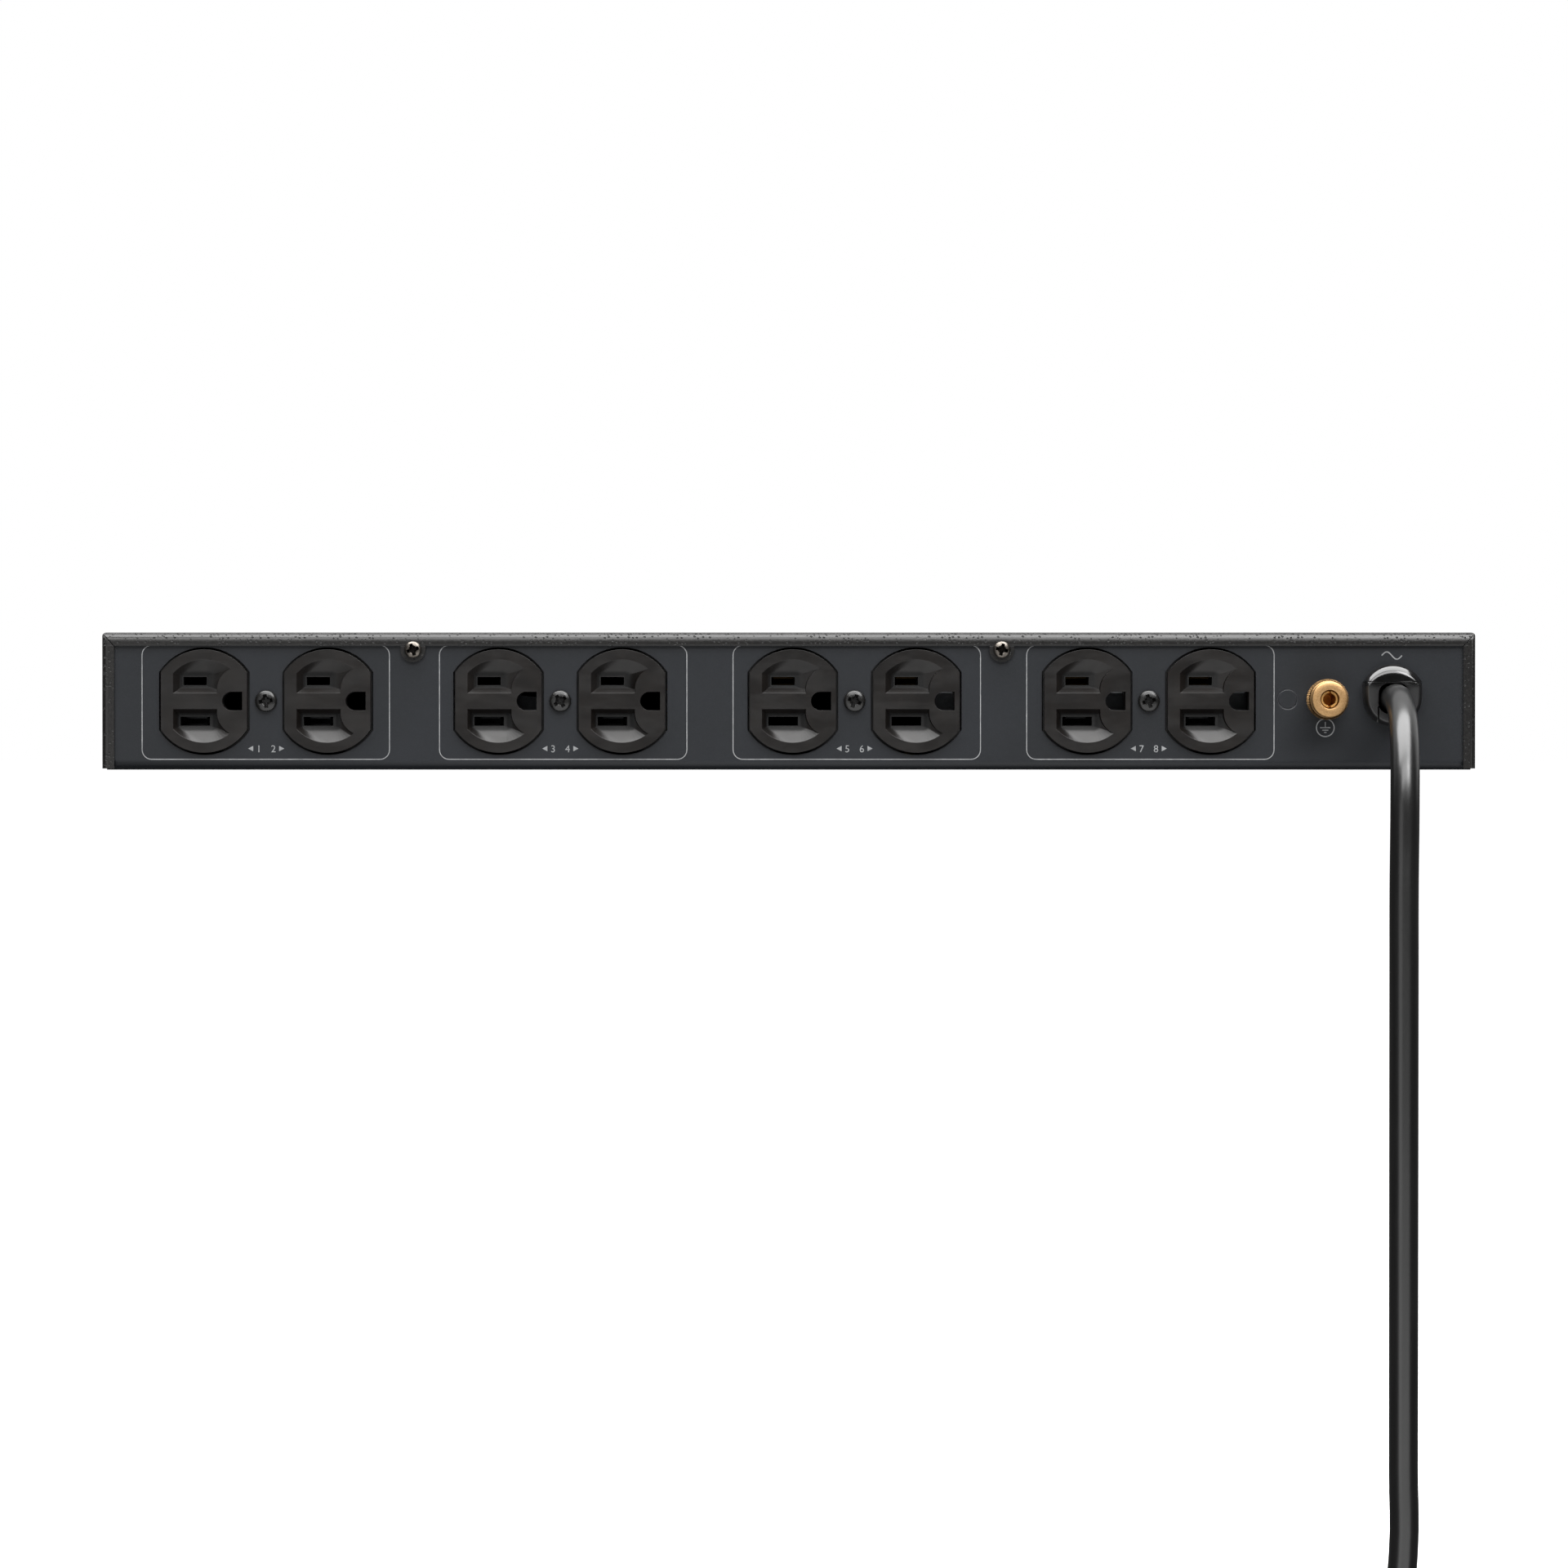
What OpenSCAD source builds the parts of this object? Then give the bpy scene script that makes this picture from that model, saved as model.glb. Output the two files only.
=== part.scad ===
// Rack power strip, one rack unit high, with eight grounded outlets on its rear panel.
// The origin is the centre of the rack-ear slots, on the rear face of the front panel.
// +X is to the right when the rear panel is faced, +Y goes from the rear to the front, +Z is up.

/* [Chassis] */
// Width of the sheet-metal chassis
chassis_w = 434; // [432:0.5:438]
// Height of the chassis
chassis_h = 43.4; // [43:0.1:43.7]
// Depth from the rear lips to the front panel's rear face
chassis_d = 216; // [210:1:260]
// Thickness of the tray's and the cover's sheet
sheet_t = 1; // [0.8:0.1:1.2]
// Outer radius of the tray's bend under the rear panel
tray_bend_r = 3; // [2:0.5:4]
// Outer radius of the cover's bend above the rear lip
cover_bend_r = 1.8; // [1.2:0.1:2.2]
// Outer radius of the cover's side bends
side_bend_r = 1.4; // [1:0.1:1.8]
// Height of the cover's rear lip along the top
top_lip_h = 4.3; // [3.5:0.1:4.5]
// Width of the cover's rear lips down the sides
side_lip_w = 3.85; // [3:0.05:4.5]
// Width of the screw ears that hang from the top lip
ear_w = 7.8; // [7:0.1:9]

/* [Front panel] */
// Width of the front panel over its rack ears
panel_w = 482.6; // [482:0.1:483]
// Height of the front panel
panel_h = 43.7; // [43.4:0.05:44]
// Thickness of the front panel
panel_t = 3; // [2:0.5:4]
// Spacing of the rack slots across the rack
rack_pitch_x = 465.1; // [465:0.1:466]
// Half the width of a rack slot
rack_slot_r = 3.4; // [3.2:0.1:3.6]
// Length of a rack slot
rack_slot_len = 10.3; // [8:0.1:12]

/* [Outlets] */
// Number of duplex receptacles
duplex_n = 4; // [1:1:4]
// Distance from one duplex to the next
duplex_pitch = 93; // [90:0.5:93]
// Centre of the first duplex
duplex_x0 = -165.2; // [-166:0.1:-164]
// Distance from the duplex's screw to each outlet's centre
outlet_offset = 19.5; // [19:0.05:19.5]
// Width of an outlet's face between its flats
face_w = 27.2; // [27:0.1:27.4]
// Radius of an outlet's round sides
face_r = 16.3; // [16:0.1:16.5]
// How far an outlet's face stands out of the panel
face_proud = 1.5; // [1:0.1:2]
// Gap between an outlet and its cutout
cutout_gap = 0.7; // [0.6:0.05:0.75]
// Depth of the funnels that guide the blades in
funnel_d = 2.9; // [2.6:0.1:4.2]
// Radius of the earth-pin hole
earth_hole_r = 2.95; // [2.8:0.05:3]

/* [Ground post] */
// Position of the ground post across the panel
post_x = 169.6; // [169:0.1:170]
// Height of the ground post
post_z = 0.5; // [0:0.1:1]
// Radius of the post's threaded stud
post_r = 2.65; // [2.5:0.05:2.7]
// Radius of the post's plug socket
post_socket_r = 2; // [2:0.05:2.05]
// Radius of the knurled knob
knob_r = 6.2; // [6:0.1:6.4]
// Running clearance between a stud and the nuts and lugs on it
running_gap = 0.07; // [0.05:0.01:0.1]
// Clearance between the post's stud and the knob that turns on it
knob_gap = 0.3; // [0.25:0.05:0.35]

/* [Cord] */
// Diameter of the mains cord
cord_d = 9; // [9:0.1:9.2]
// Position of the cord's gland across the panel
gland_x = 190.6; // [190:0.1:191]
// Height at which the cord leaves the gland
cord_z = 0.8; // [0.5:0.1:1]

/* [Hidden] */

$fn = 48;
rack_pitch_z = 31.75;  // standard spacing of the slots in one rack unit
soft_fn = 32;          // sides of the circles inside a hull
slip = 0.1;            // gap between sheets that are screwed together
eps = 0.01;            // overlap that keeps a cut clean

cover_black = "#2b2c2e";
panel_slate = "#35383d";
glossy_black = "#1c1c1e";
outlet_black = "#232325";
gold = "#b8975c";
nickel = "#b9bcc0";
screw_black = "#2a2a2c";
brass = "#b08d4c";
zinc = "#a6a9ad";

floor_z = -chassis_h / 2;
inside_z = floor_z + sheet_t;
panel_y = -chassis_d + sheet_t + slip;     // outer face of the rear panel
tray_w = chassis_w - 2 * sheet_t - 0.4;
tray_top_z = chassis_h / 2 - sheet_t - slip;
cover_foot_z = floor_z + 0.4;
ear_xs = [-118.7, 67.3];
ear_z = 16.2;
ear_screw_r = 1.5;
drill_gap = 0.06;      // radial gap round a screw's shank
side_screw_ys = [-190, -110, -30];
side_screw_z = floor_z + 7;
panel_screw_x = 206;
panel_screw_z = 14;

// Outlet parts, measured from the rear panel's outer face inwards
base_front = sheet_t + 0.2;
base_back = 6.1;
body_front = base_back + 0.1;
body_back = 25;
base_len = 67;
base_h = 31;
blade_z = 6.35;
hot_slot = [7.4, 2.6];
neutral_slot = [9.4, 2.8];
slot_x = -3.1;
earth_x = 8.7;
earth_flat_x = 12.05;
hub_x = 11.3;
hub_z = 3.6;
hub_r = 7.2;
contact_t = 0.6;
outlet_screw_r = 1.75;

// Coil of the cord that isn't in use: two turns in its upper layer, the rest in its lower one
coil_turns = 4.25;
cord_r = cord_d / 2;
coil_x = 146;
coil_y = -202;
coil_in = 44;                               // centre-line radius of the innermost turn
coil_out = coil_in + cord_d * (coil_turns - 2);
rest_z = -315;                              // surface that the coil and the plug lie on
coil_foot_z = rest_z + 1;
plug_z = rest_z + 12.5;
plug_x = coil_x - coil_out;
plug_y = -164;

// The cord's route from the gland down to its coil
cord_route = [
    [191, -221, 0.8], [191, -226, 0.8], [190.8, -236, -0.5], [190.6, -245, -4.3],
    [190.2, -253, -10.3], [189.8, -259, -18.2], [189.4, -262.7, -27.4], [189.2, -264, -37.2],
    [189, -264, -58], [189, -264, -80], [189, -264, -102], [189, -264, -124],
    [189, -264, -146], [189, -264, -168], [189, -264, -190], [189, -264, -212],
    [189, -264, -236], [189, -264, -262.5], [187.7, -264, -272.3], [184, -264, -281.5],
    [178, -264, -289.4], [170, -264, -295.4], [161, -264, -299.2], [151, -264, -300.5]
];
// The cord's route from its coil to the plug
tail_route = [
    [81.8, -202, -309.5], [81.8, -194, -309], [81.8, -185, -306.5], [81.8, -175, -303.5],
    [81.8, -164, -302.5]
];

// ---------- shared shapes ----------

// Moves children to the rear panel's outer face, where +Y goes inwards
module on_rear(x, z) {
    translate([x, panel_y, z]) children();
}

// A box from its two corners
module block(low, high) {
    translate(low) cube(high - low);
}

// A round bar along Y, from depth y0 to depth y1
module bar_y(r, y0, y1, r2 = -1) {
    translate([0, y0, 0]) rotate([-90, 0, 0])
        cylinder(h = y1 - y0, r1 = r, r2 = r2 < 0 ? r : r2);
}

// Extrudes a shape drawn in X and Z between two depths
module extrude_y(y0, y1) {
    translate([0, y1, 0]) rotate([90, 0, 0]) linear_extrude(y1 - y0) children();
}

// Extrudes a shape drawn in Y and Z, centred on X
module extrude_x(width) {
    rotate([90, 0, 90]) linear_extrude(width, center = true) children();
}

// A rectangle with some of its corners rounded: r = [low-left, low-right, top-right, top-left]
module rounded(low, high, r) {
    corners = [low, [high.x, low.y], high, [low.x, high.y]];
    inward = [[1, 1], [-1, 1], [-1, -1], [1, -1]];
    difference() {
        translate(low) square(high - low);
        for (i = [0:3]) if (r[i] > 0) difference() {
            translate(corners[i] - [r[i], r[i]]) square(2 * r[i]);
            translate(corners[i] + r[i] * inward[i]) circle(r[i]);
            translate(corners[i] + r[i] * inward[i] + [inward[i].x > 0 ? 0 : -2 * r[i], -r[i]])
                square(2 * r[i]);
            translate(corners[i] + r[i] * inward[i] + [-r[i], inward[i].y > 0 ? 0 : -2 * r[i]])
                square(2 * r[i]);
        }
    }
}

// A round shape cut by two upright flats
module flatted(r, w) {
    intersection() {
        circle(r);
        square([w, 2 * r + 1], center = true);
    }
}

// A pan-head screw whose head lies on the plane y = 0 and points to -Y
module pan_screw(head_r, head_h, shank_r, shank_len, cross) {
    difference() {
        union() {
            bar_y(head_r * 0.82, -head_h, -head_h * 0.55, head_r);
            bar_y(head_r, -head_h * 0.55, 0);
            bar_y(shank_r, -eps, shank_len);
        }
        for (turn = [0, 90]) rotate([0, turn + 12, 0])
            block([-cross / 2, -head_h - eps, -cross * 0.15], [cross / 2, -head_h * 0.3, cross * 0.15]);
    }
}

// A hexagonal nut along Y with a round hole
module hex_nut(flats, hole_r, y0, y1) {
    difference() {
        translate([0, y0, 0]) rotate([-90, 0, 0]) cylinder(h = y1 - y0, r = flats / sqrt(3), $fn = 6);
        bar_y(hole_r, y0 - 1, y1 + 1);
    }
}

function unit(v) = v / norm(v);
function tangents(p) =
    [for (i = [0:len(p) - 1]) unit(p[min(i + 1, len(p) - 1)] - p[max(i - 1, 0)])];
function square_to(t, n) = unit(n - (n * t) * t);
function first_normal(t) = square_to(t, abs(t.z) < 0.8 ? [0, 0, 1] : [1, 0, 0]);
// Normals carried along a route so that a tube doesn't twist
function normals(t) = [
    for (i = 0, n = first_normal(t[0]); i < len(t); i = i + 1, n = i < len(t) ? square_to(t[i], n) : n) n
];
// Points between the route's own points, on a smooth curve through them
function between(a, b, c, d, u) =
    0.5 * (2 * b + (c - a) * u + (2 * a - 5 * b + 4 * c - d) * u * u
        + (3 * b - a - 3 * c + d) * u * u * u);
function smooth(p, steps) = concat(
    [for (i = [0:len(p) - 2], s = [0:steps - 1])
        between(p[max(i - 1, 0)], p[i], p[i + 1], p[min(i + 2, len(p) - 1)], s / steps)],
    [p[len(p) - 1]]
);

// A tube swept along a route
module tube(route, r, sides) {
    t = tangents(route);
    n = normals(t);
    rings = len(route);
    points = [for (i = [0:rings - 1], j = [0:sides - 1])
        route[i] + r * (cos(360 * j / sides) * n[i] + sin(360 * j / sides) * cross(t[i], n[i]))];
    walls = [for (i = [0:rings - 2], j = [0:sides - 1]) let (k = (j + 1) % sides)
        [i * sides + j, (i + 1) * sides + j, (i + 1) * sides + k, i * sides + k]];
    first_cap = [for (j = [0:sides - 1]) j];
    last_cap = [for (j = [sides - 1:-1:0]) (rings - 1) * sides + j];
    polyhedron(points, concat([first_cap], walls, [last_cap]));
}

// ---------- chassis ----------

// The tray's side view: floor, rear panel and front flange, rounded where they bend
module tray_section(inset) {
    low = [panel_y + inset, floor_z + inset];
    high = [-inset, inset > 0 ? chassis_h : tray_top_z];
    rounded(low, high, [tray_bend_r - inset, 2 - inset, 0, 0]);
}

module base_tray() {
    flange_x = tray_w / 2;
    color(panel_slate) difference() {
        union() {
            difference() {
                extrude_x(tray_w) tray_section(0);
                extrude_x(tray_w + 1) tray_section(sheet_t);
            }
            for (side = [-1, 1]) scale([side, 1, 1])
                block([flange_x - sheet_t, panel_y + 6, inside_z - eps], [flange_x, -6, inside_z + 12]);
        }
        for (i = [0:duplex_n - 1]) on_rear(duplex_x0 + i * duplex_pitch, 0) {
            for (side = [-1, 1]) translate([side * outlet_offset, 0, 0])
                extrude_y(-1, 2) flatted(face_r + cutout_gap, face_w + 2 * cutout_gap);
            bar_y(outlet_screw_r + drill_gap, -1, 2);
        }
        on_rear(post_x, post_z) bar_y(post_r + 0.25, -1, 2);
        on_rear(earth_stud_x, earth_stud_z) bar_y(earth_head_r + drill_gap, -1, 2);
        on_rear(gland_x, gland_z) extrude_y(-1, 2) flatted(gland_neck_r + 0.1, gland_neck_w + 0.2);
        for (x = ear_xs) on_rear(x, ear_z) bar_y(ear_screw_r + drill_gap, -1, 2);
        for (side = [-1, 1], y = side_screw_ys) translate([side * flange_x, y, side_screw_z])
            rotate([0, 0, 90]) bar_y(ear_screw_r + drill_gap, -3, 3);
        for (x = [-1, 1], z = [-1, 1]) translate([x * panel_screw_x, 0, z * panel_screw_z])
            bar_y(ear_screw_r + drill_gap, -3, 1);
        translate([switch_x, 0, 0]) block([-7, -3, -14.5], [7, 1, 14.5]);
        translate([breaker_x, 0, 0]) bar_y(breaker_bush_r + 0.3, -3, 1);
        translate([lamp_x, 0, 0]) bar_y(lamp_r + 0.3, -3, 1);
    }
}

// The solid that the cover's outer skin encloses
module cover_envelope() {
    half = chassis_w / 2;
    top = chassis_h / 2;
    intersection() {
        extrude_y(-chassis_d, 0)
            rounded([-half, cover_foot_z], [half, top], [0, 0, side_bend_r, side_bend_r]);
        extrude_x(chassis_w) rounded([-chassis_d, cover_foot_z], [0, top], [0, 0, 0, cover_bend_r]);
        translate([0, 0, cover_foot_z]) linear_extrude(chassis_h)
            rounded([-half, -chassis_d], [half, 0], [side_bend_r, side_bend_r, 0, 0]);
    }
}

// The opening that the rear lips leave, less the two screw ears
module rear_window() {
    half = chassis_w / 2 - side_lip_w;
    top = chassis_h / 2 - top_lip_h;
    difference() {
        extrude_y(-chassis_d - 1, -chassis_d + sheet_t + eps)
            translate([-half, -chassis_h]) square([2 * half, chassis_h + top]);
        for (x = ear_xs) extrude_y(-chassis_d - 2, -chassis_d + 2 * sheet_t) {
            translate([x, ear_z]) circle(ear_w / 2);
            translate([x - ear_w / 2, ear_z]) square([ear_w, top]);
        }
    }
}

module top_cover() {
    half = chassis_w / 2;
    top = chassis_h / 2;
    mitre_w = 0.25;
    mitre_len = 4.6;
    color(cover_black) difference() {
        cover_envelope();
        block([-half + sheet_t, -chassis_d + sheet_t, -chassis_h], [half - sheet_t, 1, top - sheet_t]);
        rear_window();
        for (x = ear_xs) translate([x, -chassis_d, ear_z]) bar_y(ear_screw_r + drill_gap, -1, 2);
        for (side = [-1, 1], y = side_screw_ys) translate([side * half, y, side_screw_z])
            rotate([0, 0, 90]) bar_y(ear_screw_r + drill_gap, -3, 3);
        for (side = [-1, 1]) scale([side, 1, 1])
            translate([half - side_lip_w, -chassis_d, top - top_lip_h])
            rotate([0, -48, 0]) block([-0.5, -1, -mitre_w / 2], [mitre_len, sheet_t + eps, mitre_w / 2]);
    }
}

module front_panel() {
    edge_r = 1.2;
    color("#1f2022") difference() {
        extrude_y(0, panel_t) rounded([-panel_w / 2, -panel_h / 2], [panel_w / 2, panel_h / 2],
            [edge_r, edge_r, edge_r, edge_r]);
        for (x = [-1, 1], z = [-1, 1]) {
            translate([x * rack_pitch_x / 2, 0, z * rack_pitch_z / 2]) extrude_y(-1, panel_t + 1) {
                for (end = [-1, 1]) translate([end * (rack_slot_len / 2 - rack_slot_r), 0])
                    circle(rack_slot_r);
                square([rack_slot_len - 2 * rack_slot_r, 2 * rack_slot_r], center = true);
            }
            translate([x * panel_screw_x, 0, z * panel_screw_z])
                bar_y(ear_screw_r + drill_gap, -1, panel_t + 1);
        }
        translate([switch_x, 0, 0]) block([-6.2, -1, -13.7], [6.2, panel_t + 1, 13.7]);
        translate([breaker_x, 0, 0]) bar_y(breaker_bush_r + 0.1, -1, panel_t + 1);
        translate([lamp_x, 0, 0]) bar_y(lamp_r + 0.05, -1, panel_t + 1);
    }
}

module front_panel_screws() {
    color(screw_black) for (x = [-1, 1], z = [-1, 1])
        translate([x * panel_screw_x, panel_t, z * panel_screw_z]) rotate([0, 0, 180])
            pan_screw(2.75, 2, ear_screw_r, 6, 3);
}

module cover_rear_screws() {
    color(nickel) for (x = ear_xs) translate([x, -chassis_d, ear_z])
        pan_screw(2.73, 1.9, ear_screw_r, 6, 3);
}

module cover_side_screws() {
    color(screw_black) for (side = [-1, 1], y = side_screw_ys)
        translate([side * chassis_w / 2, y, side_screw_z]) rotate([0, 0, side * 90])
            pan_screw(2.75, 1.8, ear_screw_r, 5, 3);
}

// ---------- duplex receptacles ----------

// Places children at every outlet of a duplex, in the duplex's own frame
module each_outlet() {
    for (side = [-1, 1]) translate([side * outlet_offset, 0, 0]) children();
}

module at_duplex(i) {
    on_rear(duplex_x0 + (i - 1) * duplex_pitch, 0) children();
}

// The raised hub round the earth hole, which stands between the two funnels
module funnel_hub() {
    foot_r = hub_r + 0.8;
    depth = funnel_d + face_proud;
    for (z = [-hub_z, hub_z]) translate([hub_x, 0, z]) bar_y(hub_r, -face_proud - eps, depth, foot_r);
    translate([0, 0, -hub_z]) linear_extrude(2 * hub_z)
        polygon([[hub_x, -face_proud - eps], [hub_x - hub_r, -face_proud - eps],
            [hub_x - foot_r, depth], [hub_x, depth]]);
}

// A funnel that narrows from the face to the blade's slot, drawn above the outlet's centre
module funnel(pit_low, pit_high) {
    rim_r = 13.15;
    rim_low = [-9.75, 2.5];
    mouth = -face_proud;
    pit = funnel_d - face_proud;
    difference() {
        hull() {
            extrude_y(mouth - 0.1, mouth) intersection() {
                circle(rim_r, $fn = soft_fn * 2);
                translate(rim_low) square([18.2, 20]);
            }
            extrude_y(pit - 0.1, pit) translate(pit_low) square(pit_high - pit_low);
        }
        funnel_hub();
    }
}

module outlet_face(i) {
    color(outlet_black) at_duplex(i) difference() {
        union() {
            each_outlet() extrude_y(-face_proud, base_front + eps) flatted(face_r, face_w);
            block([-base_len / 2, base_front, -base_h / 2], [base_len / 2, base_back, base_h / 2]);
        }
        each_outlet() {
            funnel([-7.1, 4.7], [0.7, 8]);
            mirror([0, 0, 1]) funnel([-8.1, 4.3], [2.5, 8]);
            block([slot_x - hot_slot.x / 2, 0, blade_z - hot_slot.y / 2],
                [slot_x + hot_slot.x / 2, base_back + 1, blade_z + hot_slot.y / 2]);
            block([slot_x - neutral_slot.x / 2, 0, -blade_z - neutral_slot.y / 2],
                [slot_x + neutral_slot.x / 2, base_back + 1, -blade_z + neutral_slot.y / 2]);
            translate([earth_x, 0, 0]) bar_y(earth_hole_r, -face_proud - 1, base_back + 1);
            block([earth_x, -face_proud - 1, -earth_hole_r], [earth_flat_x, base_back + 1, earth_hole_r]);
        }
        bar_y(outlet_screw_r + 0.25, -1, base_back + 1);
    }
}

module outlet_body(i) {
    reach = outlet_offset - slot_x + 6.5;
    color("#3a3a3c") at_duplex(i) difference() {
        block([-base_len / 2 + 0.5, body_front, -base_h / 2], [base_len / 2 - 0.5, body_back, base_h / 2]);
        for (z = [-blade_z, blade_z])
            block([-reach, body_front - 1, z - 2.4], [outlet_offset + 3, body_back - 2, z + 2.4]);
        for (z = [-blade_z, blade_z]) block([-3.4, body_back - 3, z - 0.6], [3.4, body_back + 1, z + 0.6]);
        each_outlet() block([4.7, body_front - 1, -3.8], [13.4, body_back + 1, 3.8]);
        bar_y(3.4, body_front - 1, body_back + 1);
    }
}

module outlet_yoke(i) {
    leg = base_len / 2 + 0.5;
    back = body_back + 0.2;
    half_h = 3.5;
    color(zinc) at_duplex(i) difference() {
        union() {
            block([-leg - 1.2, back, -half_h], [leg + 1.2, back + 1.2, half_h]);
            for (side = [-1, 1]) scale([side, 1, 1]) {
                block([leg, base_front, -half_h], [leg + 1.2, back + eps, half_h]);
                block([leg, base_front, -half_h], [38.5, base_front + 1.2, half_h]);
            }
            each_outlet() for (z = [-1, 1]) scale([1, 1, z])
                block([earth_x - 2, 9, 2.6], [earth_x + 3, back + eps, 2.6 + contact_t]);
            bar_y(3.2, 14, back + eps);
            block([26, back, -0.4], [32.3, back + 9, 0.4]);
        }
        bar_y(outlet_screw_r + drill_gap, 13, back + 2);
    }
}

// Spring contacts of both outlets, joined by a strip with a terminal tab at the back
module contact_strip(z) {
    strip_y = body_back - 3.4;
    translate([0, 0, z]) {
        each_outlet() for (up = [-1, 1]) scale([1, 1, up])
            block([slot_x - 3.2, 9, 0.85], [slot_x + 3.2, strip_y + eps, 0.85 + contact_t]);
        block([-outlet_offset + slot_x - 3.2, strip_y, -1.8],
            [outlet_offset + slot_x + 3.2, strip_y + contact_t, 1.8]);
        block([-3.15, strip_y, -0.4], [3.15, body_back + 9, 0.4]);
    }
}

module outlet_hot(i) {
    color(brass) at_duplex(i) contact_strip(blade_z);
}

module outlet_neutral(i) {
    color(nickel) at_duplex(i) contact_strip(-blade_z);
}

module outlet_screws() {
    color(screw_black) for (i = [1:duplex_n]) at_duplex(i)
        pan_screw(3.45, 2, outlet_screw_r, 19, 4);
}

// ---------- ground post and earth stud ----------

earth_stud_x = 157.7;
earth_stud_z = 0.6;
earth_head_r = 3;
post_front = -13.3;
collar_back = -2.2;
collar_front = -3.3;
knob_front = -15;

module ground_post_stud() {
    slit = 0.8;
    color(gold) on_rear(post_x, post_z) difference() {
        bar_y(post_r, post_front, 13);
        bar_y(post_socket_r, post_front - 1, 1);
        block([-slit / 2, post_front - 1, -4], [slit / 2, post_front + 4, 4]);
    }
}

module ground_post_washer() {
    color(gold) on_rear(post_x, post_z) difference() {
        bar_y(6, -2, -0.02);
        bar_y(post_r + running_gap, -3, 1);
    }
}

module ground_post_collar() {
    color(gold) on_rear(post_x, post_z) difference() {
        bar_y(5.8, collar_front, collar_back);
        bar_y(post_r + knob_gap, collar_front - 1, collar_back + 1);
    }
}

module ground_post_knob() {
    groove_n = 40;
    color(gold) on_rear(post_x, post_z) difference() {
        union() {
            bar_y(knob_r, -10.6, collar_front - 0.1);
            bar_y(5.7, knob_front, -10.5);
        }
        bar_y(post_r + knob_gap, knob_front - 1, collar_front + 1);
        for (i = [0:groove_n - 1]) rotate([0, i * 360 / groove_n, 0])
            translate([knob_r + 0.1, 0, 0]) rotate([0, 45, 0])
            block([-0.25, -11, -0.25], [0.25, -3, 0.25]);
    }
}

module ground_post_nut() {
    color(gold) on_rear(post_x, post_z) {
        hex_nut(9, post_r + running_gap, 3.2, 7);
    }
}

module earth_stud() {
    color(zinc) on_rear(earth_stud_x, earth_stud_z) {
        bar_y(earth_head_r, 0.03, sheet_t);
        bar_y(2, sheet_t - eps, 14);
    }
}

module earth_nut() {
    color(zinc) on_rear(earth_stud_x, earth_stud_z) hex_nut(7, 2 + running_gap, 4.8, 8);
}

// A ring terminal on a stud, with a barrel that holds the wire
module ring_lug(hole_r, ring_r, y0, turn) {
    rotate([0, turn, 0]) difference() {
        union() {
            bar_y(ring_r, y0, y0 + 0.8);
            block([0, y0, -1.6], [ring_r + 3, y0 + 0.8, 1.6]);
            translate([ring_r + 2.5, y0 + 2, 0]) rotate([0, 90, 0]) cylinder(h = 6, r = 2);
        }
        bar_y(hole_r, y0 - 1, y0 + 5);
        translate([ring_r + 3, y0 + 2, 0]) rotate([0, 90, 0]) cylinder(h = 8, r = 1.35);
    }
}

module ring_lugs() {
    color(zinc) {
        on_rear(earth_stud_x, earth_stud_z) {
            ring_lug(2 + running_gap, 4, 1.6, -90);
            ring_lug(2 + running_gap, 4, 3.6, 90);
        }
        on_rear(post_x, post_z) ring_lug(post_r + running_gap, 5, 1.8, -90);
    }
}

// ---------- cord ----------

gland_z = 1.2;
gland_w = 18.3;
gland_top_r = 10.4;
gland_neck_r = 7.9;
gland_neck_w = 14.6;
gland_split_z = 6.3;
gland_head_t = 6.1;
exit_y = -6.1;

// The bushing's head outline, centred on the gland
module gland_outline(inset) {
    intersection() {
        union() {
            intersection() {
                circle(gland_top_r - inset);
                translate([-20, 0]) square(40);
            }
            circle(gland_w / 2 - inset);
        }
        square([gland_w - 2 * inset, 40], center = true);
    }
}

// Both halves of the bushing, less the way through for the cord
module gland_whole() {
    hole = cord_r + 0.35;
    drop = cord_z - gland_z;
    on_rear(gland_x, gland_z) difference() {
        union() {
            extrude_y(-gland_head_t + 1.6, -0.02) gland_outline(0);
            extrude_y(-gland_head_t, -gland_head_t + 1.7) gland_outline(1.3);
            extrude_y(-0.1, 9) flatted(gland_neck_r, gland_neck_w);
            extrude_y(1.6, 4) flatted(gland_neck_r + 0.7, gland_neck_w);
        }
        extrude_y(-10, 12) rounded([-hole, drop - hole], [hole, drop + hole], [3.4, 3.4, 3.4, 3.4]);
        for (side = [-1, 1]) block([side * hole - 0.2, -10, -12], [side * hole + 0.2, -3, drop - 2.5]);
    }
}

module strain_relief_body() {
    color(glossy_black) intersection() {
        gland_whole();
        on_rear(gland_x, gland_split_z) block([-20, -10, -40], [20, 12, 0]);
    }
}

module strain_relief_lock() {
    color(glossy_black) intersection() {
        gland_whole();
        on_rear(gland_x, gland_split_z) block([-20, -10, 0.1], [20, 12, 40]);
    }
}

module cord_entry() {
    color(glossy_black) on_rear(cord_route[0].x, cord_z) bar_y(cord_r - 0.05, exit_y + 0.1, 22);
}

module mains_cord() {
    color(glossy_black) tube(cord_route, cord_r, 12);
}

module cord_tail() {
    color(glossy_black) tube(tail_route, cord_r, 12);
}

module cord_coil() {
    color(glossy_black) translate([coil_x, coil_y, coil_foot_z]) rotate_extrude($fn = 96)
        translate([coil_in - cord_r, 0]) square([coil_out - coil_in + cord_d, 2 * cord_d]);
}

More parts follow.
